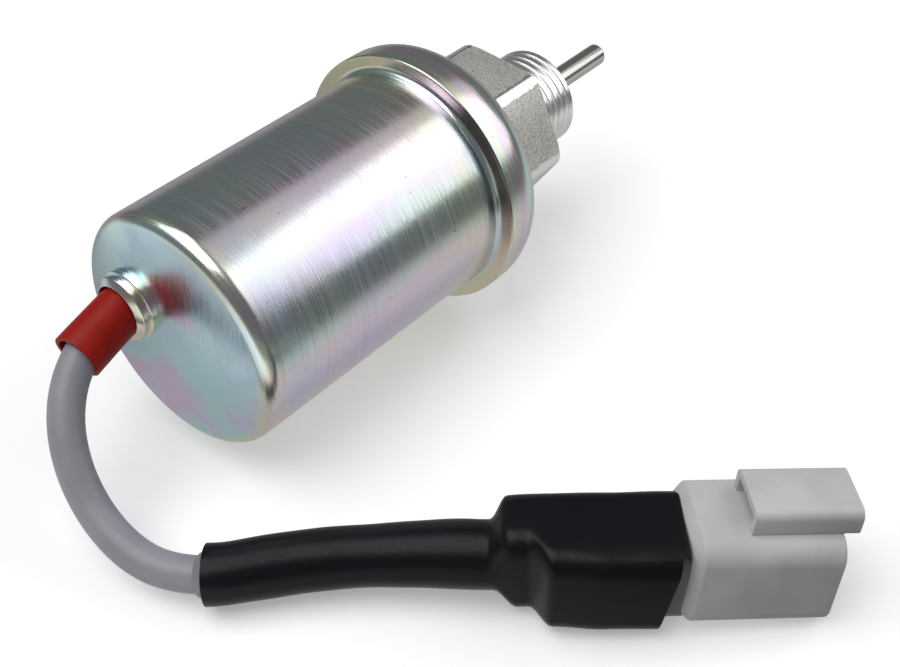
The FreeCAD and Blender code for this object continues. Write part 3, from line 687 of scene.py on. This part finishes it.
def silicone_rubber():
    """Brick-red silicone with a soft gloss, dust and mottling."""
    f = Finish("red silicone")
    base = colours().silicone
    mottle = f.noise(f.place, scale=300, detail=3)
    dust = f.spread(f.noise(f.place, scale=2600, detail=2), 0.68, 0.78)
    colour = f.mixed(f.spread(mottle, 0.35, 0.7), tinted(base, 0.92), tinted(base, 1.08))
    f.set(
        Base_Color=f.mixed(f.times(dust, 0.08), colour, (0.45, 0.12, 0.09)),
        Roughness=f.spread(mottle, 0.3, 0.7, 0.38, 0.46),
        Specular_IOR_Level=0.2,
        Normal=f.bump(mottle, 0.04 * MM, 0.4),
    )
    return f.material


def moulded(name, base, rough, grain=1800, depth=0.012, waves=0.0, gloss=0.5):
    """Plastic or rubber with a fine satin surface and, where waves is set, soft ripples."""
    f = Finish(name)
    fine = f.noise(f.place, scale=grain, detail=3)
    flow = f.noise(f.place, scale=110, detail=3)
    normal = f.bump(flow, waves * MM, 0.6) if waves > 0 else None
    f.set(
        Base_Color=f.mixed(f.spread(flow, 0.35, 0.7), tinted(base, 0.94), tinted(base, 1.06)),
        Roughness=f.spread(fine, 0.3, 0.7, rough - 0.05, rough + 0.05),
        Specular_IOR_Level=gloss,
        Normal=f.bump(fine, depth * MM, 0.5, normal),
    )
    return f.material


# The solenoid's turned pieces


def make_can():
    """The drawn can with its crowned base and rolled rim."""
    s = sizes()
    wall = s.can_wall
    edge_x = s.can_base_x + s.can_base_fall
    crown_x = s.can_base_x - s.can_base_crown
    crown_radius = 9 * MM
    crown_round = 90 * MM
    lip_round = 0.3 * MM
    can = turned("can", [
        (crown_x, 0, 0),
        (crown_x, crown_radius, crown_round),
        (edge_x, s.can_radius, s.can_base_round),
        (s.rim_rear_x, s.can_radius, s.rim_foot_round),
        (s.rim_rear_x, s.rim_radius, s.rim_ridge_round),
        (s.rim_front_x, s.rim_radius, s.rim_roll),
        (s.rim_front_x, s.rim_lip_radius, lip_round),
        (s.rim_front_x - wall, s.rim_lip_radius, lip_round),
        (s.rim_front_x - wall, s.rim_radius - wall, s.rim_roll - wall),
        (s.rim_rear_x + wall, s.rim_radius - wall, 0),
        (s.rim_rear_x + wall, s.can_radius - wall, 0),
        (edge_x + wall, s.can_radius - wall, s.can_base_round - wall),
        (edge_x + wall, 0, 0),
    ], segments=14)
    dressed(can, "solenoid", "zinc_plate", passivated_can(), "housing_can")
    smooth(can, 35)


def body_bore():
    """Cutter for the plunger's chamber and the bush's bore through the hexagon."""
    s = sizes()
    return turned("bore_cutter", [
        (s.rim_rear_x, 0, 0),
        (s.rim_rear_x, s.chamber_radius, 0),
        (s.chamber_front_x, s.chamber_radius, 0),
        (s.chamber_front_x, s.stud_bore, 0),
        (5 * MM, s.stud_bore, 0),
        (5 * MM, 0, 0),
    ])


def make_hexagon():
    """The hexagonal bar with its turned corners and the flange behind it."""
    s = sizes()
    flange_rear = s.rim_rear_x + s.can_wall
    flange_front = s.rim_front_x - s.can_wall - s.seat_gap
    flange_radius = s.rim_radius - s.can_wall - s.seat_gap
    deselect()
    upright = Matrix.Rotation(s.hex_roll, 4, "X") @ Matrix.Rotation(math.pi / 2, 4, "Y")
    bpy.ops.mesh.primitive_cylinder_add(
        vertices=6, radius=s.hex_flats / math.sqrt(3), depth=-flange_rear,
        location=(flange_rear / 2, 0, 0), rotation=upright.to_euler())
    body = bpy.context.object
    body.name = "nose"
    set_in_place(body)
    blank = turned("blank", [
        (flange_rear - MM, 0, 0),
        (flange_rear - MM, s.hex_turned_radius, 0),
        (-s.hex_edge_break, s.hex_turned_radius, 0),
        (0, s.hex_turned_radius - 2 * s.hex_edge_break, 0),
        (0, 0, 0),
    ])
    cut_with(body, blank, "INTERSECT")
    soften(body, 0.12 * MM, 2, 12)
    cut_with(body, body_bore())
    flange = turned("flange", [
        (flange_rear, s.chamber_radius, 0),
        (flange_rear, flange_radius, 0),
        (flange_front, flange_radius, s.rim_roll - s.can_wall),
        (flange_front, s.chamber_radius, 0),
    ], closed=True)
    body.data.materials.append(hexagon_steel())
    flange.data.materials.append(body.data.materials[0])
    return joined(body, flange)


def make_stud():
    """Stud with a rolled thread, chamfered end and bore."""
    s = sizes()
    crest = s.stud_radius
    root = crest - s.thread_depth
    pitch = s.thread_pitch
    start = -2 * pitch
    crest_round = 0.22 * MM
    outline = [
        (start, root, 0),
        (start + 0.06 * pitch, root, 0.05 * MM),
        (start + 0.20 * pitch, crest, crest_round),
        (start + 0.88 * pitch, crest, crest_round),
        (start + pitch, root, 0),
    ]
    flat = rounded(outline, 4)
    thread = drawn_line("thread", [Vector((p.x, 0, p.y)) for p in flat])
    set_in_place(thread)
    wind(thread, pitch, int(s.stud_length / pitch) + 5, 96)
    for plane_x, outer in ((-MM, False), (s.stud_length + MM, True)):
        bpy.ops.mesh.select_all(action="SELECT")
        bpy.ops.mesh.bisect(
            plane_co=(plane_x, 0, 0), plane_no=(1, 0, 0), use_fill=True,
            clear_outer=outer, clear_inner=not outer)
    face_outward(thread)
    chamfer = s.stud_chamfer
    bore_chamfer = 0.4 * MM
    sunk = -0.3 * MM
    over_crest = crest + 0.02 * MM
    envelope = turned("envelope", [
        (sunk, s.stud_bore, 0),
        (sunk, over_crest, 0),
        (s.stud_length - chamfer, over_crest, 0),
        (s.stud_length, crest - chamfer, 0.2 * MM),
        (s.stud_length, s.stud_bore + bore_chamfer, 0),
        (s.stud_length - bore_chamfer, s.stud_bore, 0),
    ], closed=True)
    cut_with(thread, envelope, "INTERSECT")
    coat(thread, bare_metal("thread steel", colours().turned, 0.22, 2600, 0.005 * MM))
    return thread


def make_nose():
    """Hexagon and threaded stud as one piece."""
    body = joined(make_hexagon(), make_stud())
    dressed(body, "solenoid", "blasted_steel", None, "mounting_body")
    smooth(body, 28)


def make_push_pin():
    """The ground pin with its rounded tip."""
    s = sizes()
    pin = turned("pin", [
        (s.pin_rear_x, 0, 0),
        (s.pin_rear_x, s.pin_radius, 0.4 * MM),
        (s.pin_reach, s.pin_radius, 0.45 * MM),
        (s.pin_reach, 0, 0),
    ])
    steel = bare_metal("ground steel", colours().ground, 0.16, 2200, 0.003 * MM)
    dressed(pin, "plunger_set", "ground_steel", steel, "push_pin")
    smooth(pin, 40)


def make_eyelet():
    """Tubular eyelet with a cone, a groove and a foot flange against the base."""
    s = sizes()
    _, exit_y, exit_z = CABLE_ROUTE[0]
    bore = s.sleeve_radius + 0.05 * MM
    outside = s.can_base_x
    inside = s.can_base_x + s.can_wall
    ridge = 6.5 * MM
    groove = 6.0 * MM
    foot = 6.9 * MM
    shank = 5.5 * MM
    clinch = 7.0 * MM
    eyelet = turned("eyelet", [
        (outside - 3.7 * MM, bore + 0.3 * MM, 0.08 * MM),
        (outside - 2.8 * MM, ridge, 0.35 * MM),
        (outside - 2.0 * MM, ridge, 0.35 * MM),
        (outside - 1.6 * MM, groove, 0.2 * MM),
        (outside - 1.2 * MM, foot, 0.25 * MM),
        (outside - 0.02 * MM, foot, 0.2 * MM),
        (outside - 0.02 * MM, shank, 0),
        (inside, shank, 0),
        (inside, clinch, 0.3 * MM),
        (inside + 0.8 * MM, clinch, 0.4 * MM),
        (inside + 0.8 * MM, bore, 0),
        (outside, bore, 0),
    ], y=exit_y, z=exit_z, closed=True)
    dressed(eyelet, "solenoid", "zinc_plate", passivated_eyelet(), "cable_eyelet")
    smooth(eyelet, 35)


def make_return_spring():
    """The return spring at rest; on the solenoid it shortens as the plunger goes back."""
    s = sizes()
    turns = 9
    deselect()
    bpy.ops.mesh.primitive_circle_add(
        vertices=16, radius=s.spring_wire / 2, location=(s.spring_rear_x, 0, s.spring_radius),
        rotation=(math.pi / 2, 0, 0))
    spring = bpy.context.object
    spring.name = "spring"
    set_in_place(spring)
    pitch = (s.spring_length - s.spring_wire) / turns
    wind(spring, pitch, turns, 40)
    bpy.ops.transform.translate(value=(s.spring_wire / 2, 0, 0))
    bpy.ops.mesh.select_all(action="DESELECT")
    bpy.ops.mesh.select_non_manifold()
    bpy.ops.mesh.edge_face_add()
    face_outward(spring)
    wire = bare_metal("spring steel", (0.42, 0.42, 0.44), 0.3, 900, 0.003 * MM)
    dressed(spring, "solenoid", "spring_steel", wire, "return_spring")
    smooth(spring, 60)
    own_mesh(spring)


# Cable, sleeve and heat-shrink


class Line:
    """A read line that gives the point and direction at a distance along it."""

    def __init__(self, points):
        self.points = points
        self.along = [0.0]
        for a, b in zip(points, points[1:]):
            self.along.append(self.along[-1] + (b - a).length)
        self.length = self.along[-1]

    def at(self, distance):
        distance = min(max(distance, 0.0), self.length)
        k = 1
        while k < len(self.along) - 1 and self.along[k] < distance:
            k += 1
        share = (distance - self.along[k - 1]) / max(self.along[k] - self.along[k - 1], 1e-9)
        return self.points[k - 1].lerp(self.points[k], share)

    def near(self, place):
        """Distance along the line of the read point nearest to a place."""
        nearest = min(range(len(self.points)), key=lambda k: (self.points[k] - place).length)
        return self.along[nearest]

    def square(self, distance):
        """Axes at a distance: X across, Y up, Z along the line."""
        step = 0.5 * MM
        ahead = (self.at(distance + step) - self.at(distance - step)).normalized()
        across = Vector((0, 0, 1)).cross(ahead).normalized()
        turn = Matrix((across, ahead.cross(across), ahead)).transposed().to_4x4()
        return Matrix.Translation(self.at(distance)) @ turn


def spline_curve(name, points):
    """An open NURBS curve with the given control points."""
    curve = bpy.data.curves.new(name, "CURVE")
    curve.dimensions = "3D"
    spline = curve.splines.new("NURBS")
    spline.points.add(len(points) - 1)
    for knot, point in zip(spline.points, points):
        knot.co = (*point, 1.0)
    spline.order_u = 3
    spline.use_endpoint_u = True
    spline.resolution_u = 12
    piece = bpy.data.objects.new(name, curve)
    bpy.context.scene.collection.objects.link(piece)
    return piece


def read_line(points):
    """The smooth line that a NURBS curve follows from its control points."""
    piece = spline_curve("line", points)
    mesh = bpy.data.meshes.new_from_object(piece)
    line = Line([v.co.copy() for v in mesh.vertices])
    bpy.data.meshes.remove(mesh)
    bpy.data.objects.remove(piece)
    return line


def tail_matrix():
    """From the tail's own axes to the solenoid's frame."""
    s = sizes()
    return Matrix.Translation(s.plug_place) @ Matrix.Rotation(s.plug_heading, 4, "Z")


def shell_matrix():
    """From the shell's own axes to the solenoid's frame."""
    s = sizes()
    return Matrix.Translation(s.shell_place) @ Euler(s.shell_turn).to_matrix().to_4x4()


def ring(matrix, width, height, rounding, steps=10):
    """The edges of a rounded rectangle that stands square on a matrix's Z axis."""
    deselect()
    bpy.ops.mesh.primitive_plane_add(size=1.0, location=matrix.translation, rotation=matrix.to_euler())
    piece = bpy.context.object
    piece.scale = (width, height, 1)
    set_in_place(piece)
    edit(piece)
    bpy.ops.mesh.bevel(affect="VERTICES", offset=rounding, segments=steps)
    bpy.ops.mesh.delete(type="ONLY_FACE")
    bpy.ops.object.mode_set(mode="OBJECT")
    return piece


def round_ring(matrix, radius, steps=10):
    """A ring whose four roundings all but meet, so that it is round."""
    return ring(matrix, 2 * radius, 2 * radius, radius - 0.02 * MM, steps)


def bridged(name, rings):
    """A skin bridged over rings, each to the next."""
    skin = joined(*rings)
    skin.name = name
    edit(skin)
    bpy.ops.mesh.select_mode(type="EDGE")
    bpy.ops.mesh.select_all(action="SELECT")
    bpy.ops.mesh.bridge_edge_loops()
    face_outward(skin)
    return skin


def make_cable():
    """The free cable from the base to its end under the heat-shrink."""
    s = sizes()
    cable = spline_curve("cable", CABLE_ROUTE)
    cable.data.bevel_depth = 1.0
    for knot in cable.data.splines[0].points:
        knot.radius = s.cable_radius
    cable.data.bevel_resolution = 12
    cable.data.use_fill_caps = True
    dressed(cable, "solenoid", "grey_pvc", None, "cable_jacket")
    cable.data.materials.append(moulded("grey sheath", colours().sheath, 0.42, waves=0.10))
    return cable


def make_sleeve():
    """The silicone sleeve round the cable's exit, open at its free end."""
    s = sizes()
    start = Vector(CABLE_ROUTE[0])
    aside = Vector((-0.38, 0.46, 0.0)) * MM
    end = read_line(CABLE_ROUTE).at(s.sleeve_length) + aside
    line = read_line([start, start - Vector((5 * MM, 0, 0)), start - Vector((7 * MM, 0, 0)), end])
    count = 24
    rings = []
    for k in range(count + 1):
        distance = line.length * k / count
        flare = eased(distance, 0.5 * line.length, line.length)
        radius = s.sleeve_radius + flare * (s.sleeve_end_radius - s.sleeve_radius)
        rings.append(round_ring(line.square(distance), radius, 12))
    sleeve = bridged("sleeve", rings)
    apply_modifier(sleeve, "SOLIDIFY", "Wall", thickness=s.sleeve_wall, offset=-1.0)
    soften(sleeve, 0.2 * MM, 3, 50)
    dressed(sleeve, "solenoid", "red_silicone", silicone_rubber(), "cable_sleeve")
    smooth(sleeve, 50)
    return sleeve


def eased(value, low, high):
    """Rises smoothly from 0 to 1 between two values."""
    share = min(max((value - low) / (high - low), 0.0), 1.0)
    return share * share * (3 - 2 * share)


def shrink_line():
    """The heat-shrink's line, from the cable's start on to the receptacle's shell."""
    s = sizes()
    place = tail_matrix()
    middle = s.tail_middle
    ends = [
        (-s.shoulder_start, middle - s.shrink_dip),
        (-s.shoulder_end, middle),
        (-12 * MM, middle),
        (0, middle),
    ]
    on_tail = [place @ Vector((u, s.shrink_offset, w)) for u, w in ends]
    return read_line(CABLE_ROUTE + SHRINK_MIDDLE + on_tail)


def make_heat_shrink():
    """One thin skin from round over the cable to a rounded box over the receptacle's tail."""
    s = sizes()
    line = shrink_line()
    mouth = line.near(Vector(s.shrink_mouth))
    small = s.shrink_radius
    coarse_step = 1.6 * MM
    fine_step = 0.7 * MM
    swell_height = 0.6 * MM
    ripple_height = 0.06 * MM
    short_wave = 2.3 * MM
    long_wave = 7.1 * MM
    corner_margin = 0.05 * MM
    rings = []
    distance = mouth
    while distance <= line.length + s.shrink_end:
        u = distance - line.length
        top = eased(u, *TOP_STEP)
        bottom = eased(u, *BOTTOM_STEP)
        near_side = 0.12 * bottom + 0.74 * eased(u, *NEAR_STEP) + 0.14 * eased(u, *NEAR_SPREAD)
        swell = eased(u, *SWELL) * (1 - top) * swell_height
        ripple = ripple_height * math.sin(distance / short_wave) * math.sin(distance / long_wave)
        radius = small + swell + ripple
        up = radius + top * (s.shrink_height / 2 - small)
        down = radius + bottom * (s.shrink_height / 2 - small)
        far = radius + top * (s.shrink_far - small)
        near = radius + near_side * (s.shrink_near - small)
        corner = radius + top * (s.shrink_corner - small)
        rounding = min((near + far) / 2, (up + down) / 2, corner) - corner_margin
        square = line.square(distance) @ Matrix.Translation(((far - near) / 2, (up - down) / 2, 0))
        rings.append(ring(square, near + far, up + down, rounding))
        distance += fine_step if u > FINE_FROM else coarse_step
    skin = bridged("shrink", rings)
    apply_modifier(skin, "SOLIDIFY", "Wall", thickness=s.shrink_wall, offset=-1.0)
    notch_shrink_end(skin)
    soften(skin, 0.15 * MM, 2, 50)
    black = moulded("black heat-shrink", colours().shrink, 0.36, 2600, 0.010, waves=0.18, gloss=0.20)
    dressed(skin, "solenoid", "shrink_black", black, "heat_shrink")
    smooth(skin, 50)
    return skin


def notch_shrink_end(skin):
    """Cuts the heat-shrink's end back, sloping, below its near upper corner."""
    depth = 1.85 * MM
    side = 9.5 * MM
    top = 18.0 * MM
    height = 24 * MM
    cutter = block("notch_cutter", 0, 12 * MM, 9 * MM, height, -height / 2, 0)
    lean = Matrix.Rotation(math.radians(10), 4, "Y")
    corner = Matrix.Translation((sizes().shrink_end - depth, -side, top))
    cutter.data.transform(tail_matrix() @ corner @ lean)
    cut_with(skin, cutter)


def make_bead():
    """Adhesive squeezed out at the heat-shrink's mouth."""
    s = sizes()
    line = shrink_line()
    mouth = line.near(Vector(s.shrink_mouth))
    rings = []
    for past, radius in BEAD_OUTLINE:
        rings.append(round_ring(line.square(mouth + past * MM), radius * MM))
    bead = bridged("bead", rings)
    adhesive = moulded("adhesive", (0.22, 0.22, 0.25), 0.4)
    dressed(bead, "solenoid", "shrink_adhesive", adhesive, "shrink_bead")
    smooth(bead, 60)
    return bead


def make_receptacle():
    """The moulded receptacle: shell with a deep mouth, tail and latch loop."""
    s = sizes()
    shell = block(
        "receptacle", 0, s.shell_length, s.shell_width, s.shell_height, s.shell_height / 2, s.shell_round, 12)
    round_end(shell, 0, s.rear_chamfer, 1)
    round_end(shell, s.shell_length, 0.5 * MM, 4)
    wall = s.shell_wall
    cavity = block(
        "cavity", s.shell_length - s.shell_cavity, s.shell_length + MM, s.shell_width - 2 * wall,
        s.shell_height - 2 * wall, s.shell_height / 2, s.shell_round - wall, 10)
    cut_with(shell, cavity)
    soften(shell, 0.3 * MM, 3, 30)
    tail = block(
        "tail", -s.tail_length, -s.tail_gap, s.tail_width, s.tail_height, s.tail_middle, s.tail_round, 8)
    tail.data.transform(Matrix.Translation((0, -s.tail_offset, 0)))
    loop = make_latch_loop()
    nylon = moulded("grey nylon", colours().receptacle, 0.46, 1500, waves=0.05)
    # The tail is coloured dark grey as painted shade where the heat-shrink's notch leaves it bare.
    painted_shade = moulded("lined tail", (0.17, 0.172, 0.19), 0.4)
    for piece, finish, place in (
            (shell, nylon, shell_matrix()), (loop, nylon, shell_matrix()), (tail, painted_shade, tail_matrix())):
        coat(piece, finish)
        piece.data.transform(place)
    joined(shell, tail, loop)
    dressed(shell, "solenoid", "grey_nylon", None, "connector_housing")
    smooth(shell, 28)
    return shell


def make_latch_loop():
    """The bridge on top that a mating latch hooks into."""
    s = sizes()
    foot = s.shell_height - MM
    start = s.latch_start
    stop = start + s.latch_length
    wall = s.latch_wall
    loop = block(
        "loop", start, stop, s.latch_width, s.latch_top - foot, (s.latch_top + foot) / 2, s.latch_round, 6)
    window_top = s.latch_top - wall
    window = block(
        "window", start - MM, stop + MM, s.latch_width - 2 * wall, window_top - s.shell_height + MM,
        (window_top + s.shell_height - MM) / 2, 0.3 * MM, 3)
    cut_with(loop, window)
    under = block("under", s.shell_length, stop + MM, s.latch_width + 2 * MM, 2 * MM, s.shell_height - MM, 0)
    cut_with(loop, under)
    soften(loop, 0.5 * MM, 3, 40)
    return loop


def make_cord():
    """The cable with all that is on it."""
    cable = make_cable()
    on_it = [make_sleeve(), make_heat_shrink(), make_bead(), make_receptacle()]
    on_it += [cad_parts[name] for name in CABLE_NODES]
    length = read_line(CABLE_ROUTE).length


# Hidden pieces and the stage


def finish_inner_pieces():
    """Finishes for the pieces that keep their own form."""
    iron = bare_metal("soft iron", (0.46, 0.46, 0.45), 0.34, 1500, 0.006 * MM)
    tinned = bare_metal("tinned copper", (0.72, 0.70, 0.66), 0.25, 900, 0.003 * MM)
    nylon = moulded("white nylon", (0.78, 0.76, 0.70), 0.45)
    insulation = moulded("wire insulation", (0.40, 0.03, 0.02), 0.45)
    rubber = moulded("black rubber", (0.018, 0.018, 0.018), 0.55)
    finishes = {
        iron: ["plunger", "rear_plate", "rear_pole"],
        bare_metal("dished steel", (0.42, 0.42, 0.44), 0.30, 900, 0.003 * MM): ["coil_washer"],
        bare_metal("guide brass", (0.70, 0.55, 0.27), 0.26, 900, 0.003 * MM): ["guide_tube"],
        bare_metal("bush bronze", (0.62, 0.43, 0.22), 0.36, 900, 0.006 * MM): ["bearing_bush"],
        bare_metal("copper winding", (0.70, 0.32, 0.14), 0.30, 5200, 0.030 * MM): ["coil_winding"],
        moulded("coil tape", (0.66, 0.50, 0.18), 0.5): ["coil_tape"],
        moulded("spool nylon", (0.03, 0.03, 0.032), 0.45): ["bobbin"],
        tinned: ["splice_a", "splice_b", "contact_a", "contact_b"],
        nylon: ["stop_washer", "cable_retainer"],
        insulation: ["lead_a", "lead_b", "conductor_a", "conductor_b"],
        rubber: ["rim_seal", "pin_wiper"],
        moulded("orange nylon", (0.75, 0.19, 0.02), 0.42): ["wedge_lock"],
        moulded("seal silicone", (0.55, 0.16, 0.05), 0.5): ["wire_seal"],
    }
    for material, names in finishes.items():
        for name in names:
            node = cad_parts[name]
            for place in node.material_slots:
                place.material = material


def soft_light(name, place, aim, size, radiance, tint=(1.0, 1.0, 1.0)):
    """A rectangular soft light aimed at a point, with a given brightness of its face."""
    deselect()
    bpy.ops.object.light_add(type="AREA", location=place)
    lamp = bpy.context.object
    lamp.name = name
    lamp.rotation_euler = (Vector(aim) - Vector(place)).to_track_quat("-Z", "Y").to_euler()
    lamp.data.shape = "RECTANGLE"
    lamp.data.size, lamp.data.size_y = size
    lamp.data.energy = radiance * math.pi * size[0] * size[1]
    lamp.data.color = tint
    lamp.visible_camera = False
    return lamp


def wide_plane(name, height, material, seen_by):
    """A level plane under the solenoid that only some kinds of rays see."""
    deselect()
    bpy.ops.mesh.primitive_plane_add(size=8.0, location=(0, 0, height))
    plane = bpy.context.object
    plane.name = name
    plane.data.materials.append(material)
    for ray in ("camera", "diffuse", "glossy", "shadow", "transmission", "volume_scatter"):
        setattr(plane, "visible_" + ray, ray in seen_by)


def toned_card():
    """Glowing card whose grey changes from near to far, as the plating mirrors it."""
    f = Finish("toned card")
    x, y, _ = f.add("ShaderNodeSeparateXYZ", Vector=f.place).outputs
    first = CARD_TONES[0][0]
    span = CARD_TONES[-1][0] - first
    glow = f.ramp(
        f.maths("DIVIDE", f.maths("SUBTRACT", y, first), span),
        [((place - first) / span, (tone, tone, tone)) for place, tone in CARD_TONES])
    behind_base = f.spread(x, -0.150, -0.105, 1.9, 1.0)
    f.set(
        Base_Color=(0.0, 0.0, 0.0, 1.0),
        Specular_IOR_Level=0.0,
        Emission_Color=glow,
        Emission_Strength=behind_base,
    )
    return f.material


def make_stage():
    """White floor, soft lights, a toned card for the reflections and the camera."""
    floor_z = sizes().plug_place[2] - sizes().floor_drop
    paper = Finish("floor paper")
    tone = paper.noise(paper.place, scale=3.0, detail=2)
    base = colours().floor
    paper.set(
        Base_Color=paper.mixed(paper.spread(tone, 0.3, 0.7), tinted(base, 0.985), base),
        Roughness=0.85,
        Specular_IOR_Level=0.1,
        Emission_Color=(1.0, 1.0, 1.0, 1.0),
        Emission_Strength=0.32,
    )
    wide_plane("floor", floor_z, paper.material, ("camera",))
    wide_plane("toned_card", floor_z - MM, toned_card(), ("diffuse", "glossy"))

    middle = (-0.055, 0.0, 0.0)
    soft_light("key_light", (0.50, -0.48, 0.50), middle, (0.62, 0.74), 1.25)
    soft_light("key_upper", (0.52, -0.24, 0.80), middle, (0.70, 0.72), 0.45)
    soft_light("top_light", (-0.55, 0.25, 1.30), (-0.07, -0.04, 0), (1.4, 1.4), 2.6)

    world = bpy.data.worlds.new("studio")
    bpy.context.scene.world = world
    world.use_nodes = True
    world.node_tree.nodes["Background"].inputs["Color"].default_value = (0.15, 0.15, 0.155, 1.0)
    bpy.context.scene.view_settings.view_transform = "Standard"

    bpy.ops.object.camera_add(location=CAMERA_PLACE)
    camera = bpy.context.object
    camera.rotation_euler = Matrix(CAMERA_AXES).to_euler()
    camera.data.sensor_fit = "HORIZONTAL"
    camera.data.sensor_width = 36.0
    camera.data.lens = CAMERA_LENS
    camera.data.clip_start = 0.01
    bpy.context.scene.camera = camera


# Operators and panel


class SolenoidOperator:
    """What the panel's operators share."""
    bl_options = {"REGISTER", "UNDO"}


class SOLENOID_OT_stage(SolenoidOperator, bpy.types.Operator):
    """Set up the floor, the lights and the camera"""
    bl_idname = "solenoid.stage"
    bl_label = "Stage"

    def execute(self, context):
        make_stage()
        return {"FINISHED"}


class SOLENOID_OT_cord(SolenoidOperator, bpy.types.Operator):
    """Make the cable with its sleeve, heat-shrink and receptacle"""
    bl_idname = "solenoid.cord"
    bl_label = "Cable and receptacle"

    def execute(self, context):
        make_cord()
        return {"FINISHED"}


class SOLENOID_OT_can(SolenoidOperator, bpy.types.Operator):
    """Make the drawn can with its rolled rim"""
    bl_idname = "solenoid.can"
    bl_label = "Can"

    def execute(self, context):
        make_can()
        return {"FINISHED"}


class SOLENOID_OT_nose(SolenoidOperator, bpy.types.Operator):
    """Make the hexagon and the threaded stud"""
    bl_idname = "solenoid.nose"
    bl_label = "Hexagon and stud"

    def execute(self, context):
        make_nose()
        return {"FINISHED"}


class SOLENOID_OT_push_pin(SolenoidOperator, bpy.types.Operator):
    """Make the push pin"""
    bl_idname = "solenoid.push_pin"
    bl_label = "Push pin"

    def execute(self, context):
        make_push_pin()
        return {"FINISHED"}


class SOLENOID_OT_eyelet(SolenoidOperator, bpy.types.Operator):
    """Make the eyelet in the base"""
    bl_idname = "solenoid.eyelet"
    bl_label = "Eyelet"

    def execute(self, context):
        make_eyelet()
        return {"FINISHED"}


class SOLENOID_OT_return_spring(SolenoidOperator, bpy.types.Operator):
    """Make the return spring"""
    bl_idname = "solenoid.return_spring"
    bl_label = "Return spring"

    def execute(self, context):
        make_return_spring()
        return {"FINISHED"}


class SOLENOID_OT_inner_finishes(SolenoidOperator, bpy.types.Operator):
    """Finish the pieces inside the can and the receptacle"""
    bl_idname = "solenoid.inner_finishes"
    bl_label = "Inner finishes"

    def execute(self, context):
        finish_inner_pieces()
        return {"FINISHED"}


OPERATORS = [
    SOLENOID_OT_stage,
    SOLENOID_OT_cord,
    SOLENOID_OT_can,
    SOLENOID_OT_nose,
    SOLENOID_OT_push_pin,
    SOLENOID_OT_eyelet,
    SOLENOID_OT_return_spring,
    SOLENOID_OT_inner_finishes,
]


class SOLENOID_PT_panel(bpy.types.Panel):
    """Lists the solenoid's steps and values."""
    bl_label = "Fuel shutoff solenoid"
    bl_space_type = "VIEW_3D"
    bl_region_type = "UI"
    bl_category = "Solenoid"

    def draw(self, context):
        for operator in OPERATORS:
            self.layout.operator(operator.bl_idname)
        for group in (context.scene.solenoid_sizes, context.scene.solenoid_colours):
            for name in group.bl_rna.properties.keys():
                if name not in ("rna_type", "name"):
                    self.layout.prop(group, name)


CLASSES = [SolenoidSizes, SolenoidColours, *OPERATORS, SOLENOID_PT_panel]


def register():
    for one in CLASSES:
        bpy.utils.register_class(one)
    bpy.types.Scene.solenoid_sizes = PointerProperty(type=SolenoidSizes)
    bpy.types.Scene.solenoid_colours = PointerProperty(type=SolenoidColours)


def unregister():
    del bpy.types.Scene.solenoid_colours
    del bpy.types.Scene.solenoid_sizes
    for one in reversed(CLASSES):
        bpy.utils.unregister_class(one)


def main():
    register()
    bpy.ops.solenoid.stage()
    bpy.ops.solenoid.cord()
    bpy.ops.solenoid.can()
    bpy.ops.solenoid.nose()
    bpy.ops.solenoid.push_pin()
    bpy.ops.solenoid.eyelet()
    bpy.ops.solenoid.return_spring()
    bpy.ops.solenoid.inner_finishes()
    bpy.context.view_layer.update()


if __name__ == "__main__":
    main()
